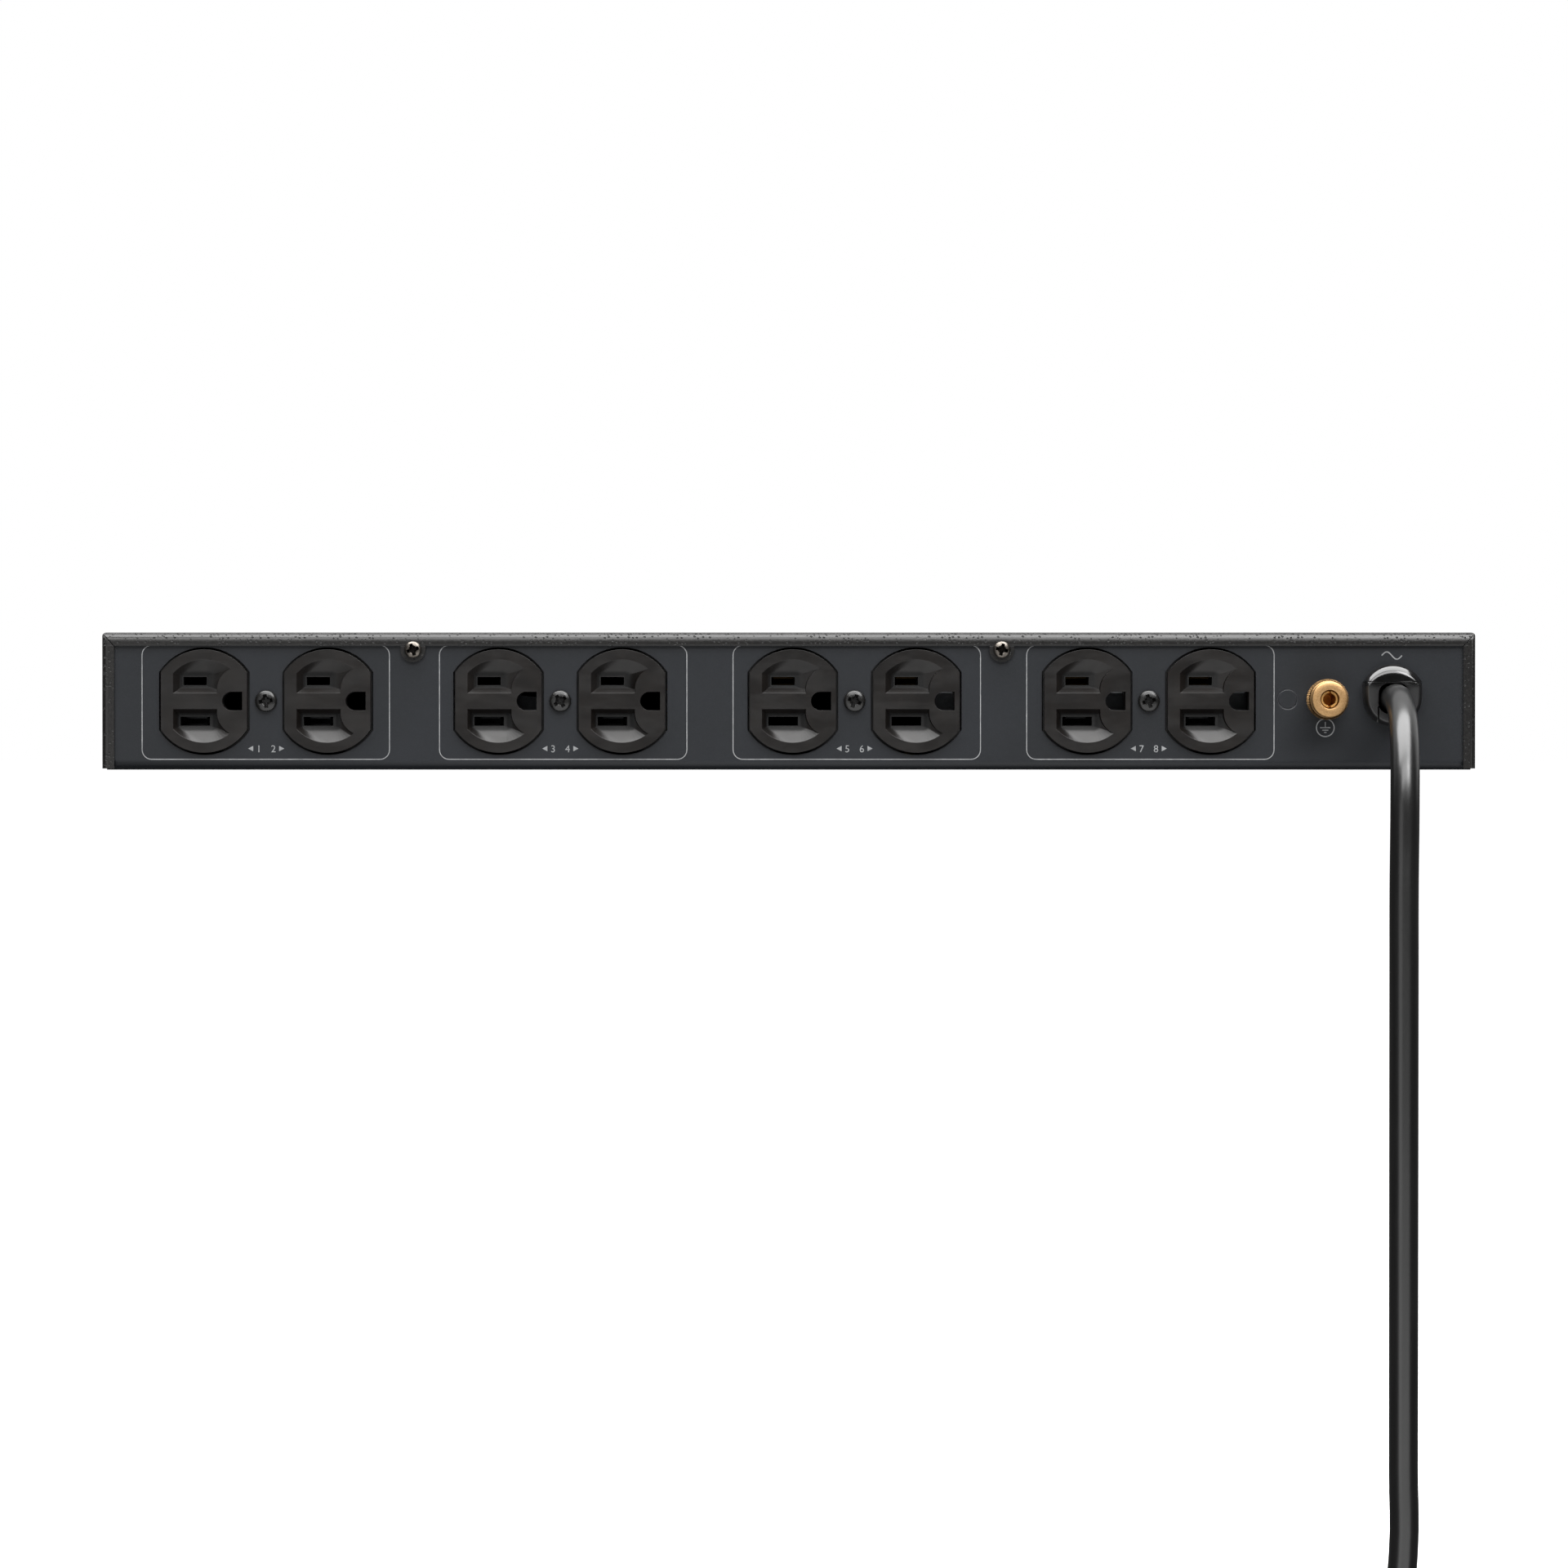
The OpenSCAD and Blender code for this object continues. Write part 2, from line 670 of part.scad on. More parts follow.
module cord_tie() {
    width = 16;
    inner = coil_in - cord_r - 1;
    outer = coil_out + cord_r + 0.2;
    strap = 0.9;
    color("#202022") translate([coil_x, coil_y, coil_foot_z]) difference() {
        block([-width / 2, inner - strap, -0.1 - strap], [width / 2, outer + strap, 2 * cord_d + 0.1 + strap]);
        block([-width, inner, -0.1], [width, outer, 2 * cord_d + 0.1]);
    }
}

// The plug lies on its side and faces +Y, with its back end where the cord enters
module at_plug() {
    translate([plug_x, plug_y, plug_z]) children();
}

module plug_body() {
    relief_n = 5;
    relief_pitch = 4.4;
    color(glossy_black) at_plug() {
        difference() {
            bar_y(5.6, 0.2, 24, 6.8);
            for (i = [0:relief_n - 1]) translate([0, 2.4 + i * relief_pitch, 0]) difference() {
                bar_y(8, 0, 1.6);
                bar_y(5.1 + i * 0.2, -1, 3);
            }
        }
        hull() {
            bar_y(6.7, 23, 25, $fn = soft_fn);
            extrude_y(40, 50) rounded([-17, -12.5], [13, 12.5], [5, 8, 8, 5], $fn = soft_fn);
        }
    }
}

module plug_pins() {
    color(brass) at_plug() {
        for (z = [-blade_z, blade_z])
            block([0.3, 50.02, z - 0.75], [6.65, 67.5, z + 0.75]);
        translate([3.5 - 11.9, 0, 0]) {
            bar_y(2.38, 50.02, 69.5);
            bar_y(2.38, 69.5, 71.4, 1.2);
        }
    }
}

// ---------- front controls ----------

switch_x = 185;
breaker_x = 150;
lamp_x = 124;
lamp_r = 2.5;
breaker_bush_r = 6;
rocker_pivot_y = 0.5;
rocker_tilt = 9;

module switch_case() {
    color("#19191b") translate([switch_x, 0, 0]) difference() {
        union() {
            block([-6, -22, -13.5], [6, panel_t + 1, 13.5]);
            block([-7.5, panel_t + 0.02, -15.5], [7.5, panel_t + 2, 15.5]);
            for (z = [-8, 0, 8]) block([-0.4, -30, z - 3.1], [0.4, -21, z + 3.1]);
        }
        block([-4.9, -9, -12.3], [4.9, panel_t + 3, 12.3]);
        translate([0, rocker_pivot_y, 0]) rotate([0, 90, 0]) cylinder(h = 11, r = 1.06, center = true);
    }
}

module power_rocker() {
    color("#2c2c2f") translate([switch_x, rocker_pivot_y, 0]) rotate([-rocker_tilt, 0, 0]) {
        extrude_x(9.2) polygon([[-4.5, -5], [3.5, -11], [5.7, -11], [4.1, 0], [5.7, 11], [3.5, 11], [-4.5, 5]]);
        rotate([0, 90, 0]) cylinder(h = 10.8, r = 1, center = true);
    }
}

module breaker_case() {
    color("#19191b") translate([breaker_x, 0, 0]) difference() {
        union() {
            block([-7, -32, -16], [7, -1.2, 16]);
            bar_y(breaker_bush_r, -2, 8);
            for (z = [-10, 10]) block([-0.4, -40, z - 3.1], [0.4, -31, z + 3.1]);
        }
        bar_y(3.27, -14, 9);
    }
}

module breaker_button() {
    color("#d2d0c8") translate([breaker_x, 0, 0]) bar_y(3.2, -10, 11);
}

module breaker_nut() {
    color(nickel) translate([breaker_x, 0, 0]) hex_nut(15, breaker_bush_r + 0.07, panel_t + 0.02, panel_t + 2.5);
}

module power_lamp() {
    color("#7fbf7a") translate([lamp_x, 0, 0]) {
        bar_y(lamp_r, -6, panel_t + 0.5);
        bar_y(lamp_r + 0.7, panel_t + 0.02, panel_t + 1);
        translate([0, panel_t + 0.5, 0]) sphere(lamp_r);
    }
}

// ---------- filter board ----------

board_x = -20;
board_y = -112;
board_size = [130, 70];
board_t = 1.6;
standoff_h = 6;
board_top = inside_z + standoff_h + board_t;
choke_x = 25;
choke_r = [8, 14.5];
choke_h = 12;

// Places children at the board's four corner holes
module board_corners() {
    for (x = [-1, 1], y = [-1, 1])
        translate([board_x + x * (board_size.x / 2 - 5), board_y + y * (board_size.y / 2 - 5), 0]) children();
}

module filter_board() {
    color("#2f5d3a") difference() {
        translate([board_x - board_size.x / 2, board_y - board_size.y / 2, inside_z + standoff_h])
            cube([board_size.x, board_size.y, board_t]);
        board_corners() translate([0, 0, inside_z]) cylinder(h = 20, r = 1.6);
    }
}

module board_standoffs() {
    color(brass) board_corners() difference() {
        translate([0, 0, inside_z]) cylinder(h = standoff_h, r = 3.2, $fn = 6);
        translate([0, 0, inside_z + 1]) cylinder(h = 20, r = 1.56);
    }
}

module board_screws() {
    color(nickel) board_corners() translate([0, 0, board_top]) rotate([-90, 0, 0])
        pan_screw(2.75, 2, 1.5, board_t + 4, 3);
}

module filter_capacitors() {
    color("#c7a63c") for (i = [0:2])
        translate([board_x - 56 + i * 16, board_y - 24, board_top]) cube([11, 26.5, 19]);
}

module choke_core() {
    color("#3c4a3e") translate([board_x + choke_x, board_y, board_top + 1.6])
        rotate_extrude($fn = 64) translate([choke_r[0], 0]) square([choke_r[1] - choke_r[0], choke_h]);
}

// Each turn of wire is a ring round the core's section
module choke_windings() {
    turns = 10;
    gap = 0.15;
    wire = 1.2;
    spread = 12;
    color("#b5703a") translate([board_x + choke_x, board_y, board_top + 1.6])
        for (half = [0, 180], i = [0:turns - 1]) rotate([0, 0, half + 18 + i * spread]) difference() {
            block([choke_r[0] - gap - wire, -wire / 2, -gap - wire],
                [choke_r[1] + gap + wire, wire / 2, choke_h + gap + wire]);
            block([choke_r[0] - gap, -wire, -gap], [choke_r[1] + gap, wire, choke_h + gap]);
        }
}

module varistors() {
    color("#2f5f9e") for (i = [0:2])
        translate([board_x - 48 + i * 20, board_y + 18, board_top + 9.5]) {
            rotate([-90, 0, 0]) cylinder(h = 4.5, r = 7);
            for (x = [-3.75, 3.75]) translate([x, 2.2, -9.5]) cylinder(h = 4, r = 0.4);
        }
}

// ---------- inner wires ----------

wire_r = 1.3;
tab_y = panel_y + body_back + 9.6;

// A wire through hand-placed points
module wire(route) {
    tube(smooth(route, 4), wire_r, 8);
}

// The short leads that join one duplex's tab to the next
module duplex_jumpers(z, lift) {
    for (i = [0:duplex_n - 2]) {
        x0 = duplex_x0 + i * duplex_pitch;
        x1 = x0 + duplex_pitch;
        wire([[x0 + 1.6, tab_y, z], [x0 + 2, tab_y + 6, z], [x0 + 14, tab_y + 12, z + lift],
            [x1 - 14, tab_y + 12, z + lift], [x1 - 2, tab_y + 6, z], [x1 - 1.6, tab_y, z]]);
    }
}

module live_wires() {
    last_x = duplex_x0 + (duplex_n - 1) * duplex_pitch;
    color("#1d1d1f") {
        duplex_jumpers(blade_z, 5);
        wire([[192, -192, 3], [196, -175, 4], [198, -120, 6], [180, -70, 10], [152, -52, 10], [150, -41, 10]]);
        wire([[150, -41, -10], [151, -52, -11], [168, -58, -12], [184, -48, -9], [185, -31, -8]]);
        wire([[185, -31, 0], [184, -44, 0], [150, -80, 6], [80, -95, 2], [38, -95, -11.5]]);
        wire([[34, -122, -11.5], [60, -140, 0], [last_x - 20, -160, 10], [last_x - 3, -172, 7],
            [last_x + 1.6, tab_y, blade_z]]);
    }
}

module neutral_wires() {
    last_x = duplex_x0 + (duplex_n - 1) * duplex_pitch;
    color("#dedbd2") {
        duplex_jumpers(-blade_z, -5);
        wire([[188, -192, 1], [180, -165, -6], [130, -120, -16], [70, -110, -10], [38, -104, -11.5]]);
        wire([[34, -131, -11.5], [70, -140, -12], [last_x - 20, -156, -14], [last_x - 3, -170, -8],
            [last_x + 1.6, tab_y, -blade_z]]);
    }
}

module earth_wires() {
    lug_y = panel_y + 3.6;
    yoke_y = panel_y + body_back + 9.9;
    color("#3f7f45") {
        wire([[192, -192, -1.2], [188, -180, -12], [172, -190, -17], [160, -205, -16],
            [earth_stud_x, lug_y + 2, -15]]);
        wire([[earth_stud_x, lug_y, 13.5], [earth_stud_x, lug_y + 1, 16.5],
            [post_x - 4, lug_y + 1, 17.5], [post_x, lug_y + 0.2, 14.5]]);
        for (i = [1:duplex_n - 1]) {
            x0 = duplex_x0 + (i - 1) * duplex_pitch + 29;
            x1 = x0 + duplex_pitch;
            wire([[x0 - 1.6, yoke_y, 0], [x0, yoke_y + 8, 0], [x0 + 20, yoke_y + 22, 0],
                [x1 - 20, yoke_y + 22, 0], [x1 - 6, yoke_y + 8, 0], [x1 - 1.6, yoke_y, 0]]);
        }
    }
}

// ---------- assembly ----------

base_tray();
top_cover();
front_panel();
front_panel_screws();
cover_rear_screws();
cover_side_screws();
outlet_screws();
for (i = [1:duplex_n]) {
    outlet_face(i);
    outlet_body(i);
    outlet_yoke(i);
    outlet_hot(i);
    outlet_neutral(i);
}
ground_post_stud();
ground_post_washer();
ground_post_collar();
ground_post_knob();
ground_post_nut();
earth_stud();
earth_nut();
ring_lugs();
strain_relief_body();
strain_relief_lock();
cord_entry();
mains_cord();
cord_coil();
cord_tail();
cord_tie();
plug_body();
plug_pins();
switch_case();
power_rocker();
breaker_case();
breaker_button();
breaker_nut();
power_lamp();
filter_board();
filter_capacitors();
choke_core();
choke_windings();
varistors();
board_standoffs();
board_screws();
live_wires();
neutral_wires();
earth_wires();
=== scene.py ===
"""Looks of the rack power strip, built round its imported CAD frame. Lengths are in metres."""

import math

import bmesh
import bpy
from mathutils import Matrix, Vector


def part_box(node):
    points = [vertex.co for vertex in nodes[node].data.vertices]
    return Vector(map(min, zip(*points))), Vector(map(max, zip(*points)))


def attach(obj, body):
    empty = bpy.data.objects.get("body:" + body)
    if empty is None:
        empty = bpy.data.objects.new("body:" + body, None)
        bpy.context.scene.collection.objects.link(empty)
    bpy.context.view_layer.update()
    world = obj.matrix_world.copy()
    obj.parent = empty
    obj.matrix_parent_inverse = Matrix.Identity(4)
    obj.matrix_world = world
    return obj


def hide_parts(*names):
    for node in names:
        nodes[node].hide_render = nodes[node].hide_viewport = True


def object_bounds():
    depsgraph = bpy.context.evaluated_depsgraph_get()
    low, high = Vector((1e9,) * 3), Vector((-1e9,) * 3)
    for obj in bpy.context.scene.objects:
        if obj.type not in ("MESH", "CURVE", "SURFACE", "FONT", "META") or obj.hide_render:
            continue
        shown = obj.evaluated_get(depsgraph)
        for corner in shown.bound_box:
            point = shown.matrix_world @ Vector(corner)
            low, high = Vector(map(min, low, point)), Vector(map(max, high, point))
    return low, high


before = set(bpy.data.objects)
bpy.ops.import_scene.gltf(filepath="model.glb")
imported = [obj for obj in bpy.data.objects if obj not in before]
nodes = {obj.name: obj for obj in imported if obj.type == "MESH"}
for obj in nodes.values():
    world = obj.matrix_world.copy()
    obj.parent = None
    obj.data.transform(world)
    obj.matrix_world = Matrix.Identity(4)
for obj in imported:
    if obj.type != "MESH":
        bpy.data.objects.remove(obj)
cad_low, cad_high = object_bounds()
scene = bpy.context.scene

MM = 0.001
DUPLEXES = (1, 2, 3, 4)


# ---------- places, from the frame ----------

def middle(node):
    """The centre of a CAD node's box."""
    low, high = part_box(node)
    return (low + high) / 2


duplex_middles = [middle(f"outlet_face_{i}") for i in DUPLEXES]
outlet_offset = 19.5 * MM
outlet_proud = 1.5 * MM
panel_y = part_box("outlet_face_1")[0].y + outlet_proud
cover_low, cover_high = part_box("top_cover")
cover_y = cover_low.y
cover_half = cover_high.x
cover_top = cover_high.z
floor_z = cad_low.z
post = middle("ground_post_knob")
post_x = post.x
post_z = post.z
gland_x = middle("strain_relief_body").x
gland_z = 1.2 * MM
cord_d = 9 * MM
cord_r = cord_d / 2
ear_low, ear_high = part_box("cover_rear_screws")
ear_z = (ear_low.z + ear_high.z) / 2
ear_head_r = 2.73 * MM
ear_spots = [(ear_low.x + ear_head_r, ear_z), (ear_high.x - ear_head_r, ear_z)]
LIP_WIDTH = 4.3 * MM


# ---------- camera ----------

def make_camera():
    """A long lens at the rear panel's height, tipped down by less than a degree."""
    lens = bpy.data.cameras.new("camera")
    lens.sensor_width = 36
    lens.lens = 125
    lens.clip_start = 0.05
    lens.clip_end = 200
    camera = bpy.data.objects.new("camera", lens)
    away = 1.936
    rise = 20 * MM
    aim_z = -26.2 * MM
    camera.location = (-1.5 * MM, -away, aim_z + rise)
    camera.rotation_euler = (math.pi / 2 - math.atan(rise / (away + panel_y)), 0, 0)
    scene.collection.objects.link(camera)
    scene.camera = camera


make_camera()


# ---------- node trees, written as Python expressions ----------

def operator(operation):
    """A Python operator that adds a Math node."""
    return lambda value, other: value.math(operation, other)


class Value:
    """A socket of a node tree. Python's operators on it add Math nodes."""

    def __init__(self, maker, socket):
        self.maker = maker
        self.socket = socket

    def math(self, operation, *others):
        """A Math node on this value, and on others if the operation takes them."""
        return self.maker.math(operation, self, *others)

    def __rsub__(self, other):
        return self.maker.math("SUBTRACT", other, self)

    __add__ = __radd__ = operator("ADD")
    __sub__ = operator("SUBTRACT")
    __mul__ = __rmul__ = operator("MULTIPLY")
    __truediv__ = operator("DIVIDE")
    __pow__ = operator("POWER")

    def out(self, name):
        """Another output of the same node."""
        return Value(self.maker, self.socket.node.outputs[name])

    def step(self, low, high, bottom=0.0, top=1.0):
        """A smooth step from bottom to top as the value goes from low to high."""
        return self.maker.add(
            "ShaderNodeMapRange", {"interpolation_type": "SMOOTHSTEP"},
            {0: self, 1: low, 2: high, 3: bottom, 4: top})


class Maker:
    """Adds nodes to one node tree."""

    def __init__(self, tree):
        self.tree = tree

    def add(self, kind, settings=None, inputs=None, output=0):
        """One node: its settings come first, then the values or links of its sockets."""
        node = self.tree.nodes.new(kind)
        for name, value in (settings or {}).items():
            setattr(node, name, value)
        for name, value in (inputs or {}).items():
            socket = node.inputs[name]
            for item in value if isinstance(value, list) else [value]:
                if isinstance(item, Value):
                    self.tree.links.new(item.socket, socket)
                else:
                    socket.default_value = item
        if not node.outputs:
            return None
        return Value(self, node.outputs[output])

    def math(self, operation, *values):
        return self.add("ShaderNodeMath", {"operation": operation}, dict(enumerate(values)))

    def split(self, vector):
        """The X, Y and Z of a vector."""
        x = self.add("ShaderNodeSeparateXYZ", None, {"Vector": vector})
        return x, x.out("Y"), x.out("Z")

    def join(self, x=0.0, y=0.0, z=0.0):
        """A vector of three numbers."""
        return self.add("ShaderNodeCombineXYZ", None, {"X": x, "Y": y, "Z": z})

    def moved(self, geometry, **change):
        """A geometry with a Translation, Rotation or Scale."""
        return self.add("GeometryNodeTransform", None, {"Geometry": geometry, **change})

    def place(self, stretch=None):
        """Object coordinates, in metres, stretched if asked."""
        spot = self.add("ShaderNodeTexCoord", output="Object")
        if stretch:
            spot = self.add("ShaderNodeMapping", None, {"Vector": spot, "Scale": stretch})
        return spot

    def noise(self, spot, scale, detail=2.0, roughness=0.5):
        return self.add(
            "ShaderNodeTexNoise", None,
            {"Vector": spot, "Scale": scale, "Detail": detail, "Roughness": roughness})

    def mix(self, share, first, second):
        """A colour between two colours."""
        return self.add(
            "ShaderNodeMix", {"data_type": "RGBA"}, {0: share, 6: first, 7: second}, output=2)

    def bump(self, height, distance, under=None):
        inputs = {"Height": height, "Distance": distance}
        if under:
            inputs["Normal"] = under
        return self.add("ShaderNodeBump", None, inputs)

    def surface(self, **sockets):
        """The principled shader and the material's output."""
        named = {name.replace("_", " "): value for name, value in sockets.items()}
        shader = self.add("ShaderNodeBsdfPrincipled", None, named)
        self.add("ShaderNodeOutputMaterial", None, {"Surface": shader})


def hypotenuse(across, up):
    """How far a point lies from an axis, from its two distances square to each other."""
    return (across * across + up * up).math("SQRT")


def shading(name):
    """A new material with an empty node tree, and the maker of its nodes."""
    material = bpy.data.materials.new(name)
    material.use_nodes = True
    material.node_tree.nodes.clear()
    return material, Maker(material.node_tree)


def srgb(red, green, blue):
    """A colour given in sRGB from 0 to 255, in Blender's linear scale."""
    shares = [value / 255 for value in (red, green, blue)]
    return (*[s / 12.92 if s <= 0.04045 else ((s + 0.055) / 1.055) ** 2.4 for s in shares], 1.0)


# ---------- finishes ----------

def finish(name, low, high, rough, mottle, grain, depth, stretch=None, **more):
    """Two tones in a soft mottle, with a fine grain in the bump and the gloss."""
    material, m = shading(name)
    spot = m.place(stretch)
    cloud = m.noise(spot, mottle, 3.0)
    fine = m.noise(spot, grain, 4.0, 0.6)
    share = cloud.step(0.3, 0.7)
    m.surface(
        Base_Color=m.mix(share, low, high),
        Roughness=fine * (rough[1] - rough[0]) + rough[0],
        Normal=m.bump(fine, depth),
        **more)
    return material


def powder_coat():
    """Black powder coat, with scattered pits and a painted shadow line along the lips' lower and inner
    edges, on lips that roll away towards their outer edges.
    """
    material, m = shading("cover_powder_coat")
    spot = m.place()
    across, depth, up = m.split(spot)
    peel = m.noise(spot, 1400, 3.0, 0.55)
    cloud = m.noise(spot, 60, 3.0)
    # Sheared, so that one flat pattern covers the rear, the top and the sides alike.
    sheared = m.join(across + depth, up + depth * 1.3)
    cells = m.add(
        "ShaderNodeTexVoronoi", {"voronoi_dimensions": "2D"}, {"Vector": sheared, "Scale": 780})
    draw = m.add("ShaderNodeSeparateColor", None, {"Color": cells.out("Color")})
    crowd = m.noise(spot, 60, 1.0).step(0.4, 0.6, 0.0, 0.4)
    ragged = cells + m.noise(spot, 2600) * 0.14 - draw.out("Green") * 0.2
    pits = ragged.step(0.24, 0.17) * (draw - crowd).step(0.22, 0.18)
    from_side = cover_half - across.math("ABSOLUTE")
    from_top = cover_top - up
    edge = from_side.math("MINIMUM", from_top)
    top_roll = (1.0 - from_top / LIP_WIDTH).math("MAXIMUM", 0.0) - 0.2
    side_roll = (1.0 - from_side / LIP_WIDTH).math("MAXIMUM", 0.0) - 0.2
    fall = (top_roll * top_roll * -1.0).math("MINIMUM", side_roll * side_roll * -0.3)
    rear = depth.step(cover_y + 0.5 * MM, cover_y + 0.3 * MM)
    # Painted shadow: a near-black line along the lips' edges where they meet the panel.
    gap_shadow = edge.step(LIP_WIDTH - 0.5 * MM, LIP_WIDTH - 0.3 * MM)
    gap_shadow = gap_shadow * edge.step(LIP_WIDTH + 0.3 * MM, LIP_WIDTH + 0.1 * MM) * rear
    tone = m.mix(cloud.step(0.3, 0.7), srgb(13, 12, 12), srgb(18, 17, 16))
    # The lighter specks of the peel are painted highlights.
    tone = m.mix(peel.step(0.4, 0.75, 0.0, 0.3), tone, srgb(34, 32, 30))
    # The pits are the coat's own; the line along the lips is painted shadow.
    dark = pits.math("MAXIMUM", gap_shadow)
    crown = m.bump(rear * fall, 1.7 * MM)
    coat = m.bump(peel, 0.02 * MM, crown)
    m.surface(
        Base_Color=m.mix(dark, tone, srgb(3, 3, 3)),
        Roughness=peel * 0.1 + dark * 0.5 + 0.26,
        Normal=m.bump(1.0 - pits, 0.1 * MM, coat))
    return material


def panel_paint():
    """Satin slate paint with a slight cloud, a fine grain and a seam round the earth stud."""
    material, m = shading("tray_slate_paint")
    spot = m.place()
    cloud = m.noise(spot, 22, 4.0, 0.6)
    grain = m.noise(spot, 3200)
    peel = m.noise(spot, 420)
    tone = m.mix(cloud.step(0.3, 0.7), srgb(13, 16, 20), srgb(17, 20, 25))
    tone = m.mix(grain.step(0.45, 0.8, 0.0, 0.3), tone, srgb(32, 34, 38))
    stud = middle("earth_stud")
    across, _, up = m.split(spot)
    radius = hypotenuse(across - stud.x, up - stud.z)
    seam_r = 3.1 * MM
    seam = (radius - seam_r).math("ABSOLUTE").step(0.3 * MM, 0.1 * MM)
    tone = m.mix(seam * 0.7, tone, srgb(46, 47, 50))
    fine = m.bump(peel, 0.006 * MM, m.bump(grain, 0.004 * MM))
    m.surface(
        Base_Color=tone,
        Roughness=grain * 0.12 + cloud * 0.06 + 0.38,
        Normal=m.bump(seam, -0.12 * MM, fine),
        Specular_IOR_Level=0.35)
    return material


def outlet_plastic():
    """Black moulded plastic with faint flow marks and rubbed patches, duller in the slots and darkened
    there by painted shade.
    """
    material, m = shading("outlet_black_plastic")
    spot = m.place()
    flow = m.noise(spot, 160, 3.0, 0.6)
    rub = m.noise(m.place((1, 1, 3)), 55, 4.0, 0.65)
    fine = m.noise(spot, 2600)
    depth = m.split(spot)[1]
    # Painted shade: the plastic turns near black once it lies about a millimetre behind the panel's
    # plane, in the slots and pits.
    painted_slot_shade = depth.step(panel_y + 0.3 * MM, panel_y + 1.0 * MM)
    tone = m.mix(flow.step(0.3, 0.75), srgb(12, 10, 9), srgb(17, 14, 12))
    m.surface(
        Base_Color=m.mix(painted_slot_shade, tone, srgb(3, 3, 3)),
        Roughness=rub.step(0.35, 0.7, 0.29, 0.4) + fine * 0.05 + painted_slot_shade * 0.35,
        Normal=m.bump(flow, 0.006 * MM, m.bump(fine, 0.003 * MM)),
        Specular_IOR_Level=0.38)
    return material


def nylon():
    """Glossy black nylon with soft moulding waves, duller towards the gland's foot."""
    material, m = shading("glossy_black_nylon")
    spot = m.place()
    wave = m.noise(spot, 240)
    fine = m.noise(spot, 3000)
    up = m.split(spot)[2]
    dull = up.step(gland_z + 5.5 * MM, gland_z + 2 * MM, 0.0, 0.26)
    m.surface(
        Base_Color=m.mix(wave.step(0.3, 0.7), srgb(5, 5, 5), srgb(10, 10, 11)),
        Roughness=fine * 0.06 + wave * 0.06 + dull + 0.08,
        Normal=m.bump(wave, 0.012 * MM, m.bump(fine, 0.002 * MM)),
        Specular_IOR_Level=0.7)
    return material


def cord_jacket():
    """Soft-gloss vinyl with long streaks from the extruder and a fine orange peel."""
    material, m = shading("cord_black_jacket")
    spot = m.place()
    streak = m.noise(m.place((1, 1, 0.06)), 520, 3.0, 0.55)
    peel = m.noise(spot, 900, 3.0)
    scuff = m.noise(m.place((1, 1, 0.3)), 70, 4.0, 0.7).step(0.55, 0.75)
    m.surface(
        Base_Color=m.mix(streak.step(0.3, 0.75), srgb(8, 8, 8), srgb(14, 14, 14)),
        Roughness=peel * 0.08 + scuff * 0.06 + 0.28,
        Normal=m.bump(streak, 0.014 * MM, m.bump(peel, 0.01 * MM)),
        Specular_IOR_Level=0.5,
        Coat_Weight=0.25,
        Coat_Roughness=0.22,
        Coat_IOR=1.7)
    return material


def webbing():
    """Woven hook-and-loop tape: crossing threads with a fuzzy nap."""
    material, m = shading("tie_black_webbing")
    spot = m.place()
    across, depth, up = m.split(spot)
    pitch = 0.9 * MM
    turn = 2 * math.pi / pitch
    warp = (across * turn).math("SINE")
    weft = ((depth + up) * turn).math("SINE")
    weave = warp * weft * 0.5 + 0.5
    fuzz = m.noise(spot, 3500, 3.0, 0.7)
    m.surface(
        Base_Color=m.mix(weave * 0.6 + fuzz * 0.4, srgb(16, 16, 17), srgb(44, 43, 43)),
        Roughness=fuzz * 0.2 + 0.72,
        Normal=m.bump(weave, 0.15 * MM, m.bump(fuzz, 0.08 * MM)),
        Sheen_Weight=0.3)
    return material


def gold_plate():
    """Satin gold over turned brass: fine rings of the lathe, small darker specks, painted shade in the
    knurl's grooves and painted light down the bore.
    """
    material, m = shading("post_gold_plate")
    spot = m.place()
    across, depth, up = m.split(spot)
    radius = hypotenuse(across - post_x, up - post_z)
    rings = m.noise(m.join(radius, depth), 9000)
    grain = m.noise(spot, 3800, 4.0, 0.7)
    specks = m.noise(spot, 2400).step(0.62, 0.7)
    tone = m.mix(grain.step(0.3, 0.7), srgb(152, 118, 76), srgb(186, 152, 110))
    tone = m.mix(specks * 0.5, tone, srgb(120, 84, 40))
    # Painted light: the gold down the bore is made brighter than the rest.
    sunk = depth.step(panel_y - 14.3 * MM, panel_y - 12.5 * MM)
    painted_bore_light = sunk * radius.step(3.1 * MM, 2.95 * MM)
    # Painted shade: the knurl's grooves behind the front ring are darkened brown.
    behind = depth.step(panel_y - 10.6 * MM, panel_y - 10.2 * MM)
    painted_groove_shade = behind * radius.step(6.35 * MM, 6.0 * MM) * radius.step(4.0 * MM, 4.4 * MM)
    tone = m.mix(painted_groove_shade * 0.85, tone, srgb(52, 34, 14))
    m.surface(
        Base_Color=m.mix(painted_bore_light, tone, srgb(206, 158, 88)),
        Metallic=1.0,
        Roughness=grain * 0.16 + 0.4,
        Normal=m.bump(rings, 0.004 * MM, m.bump(grain, 0.012 * MM)))
    return material


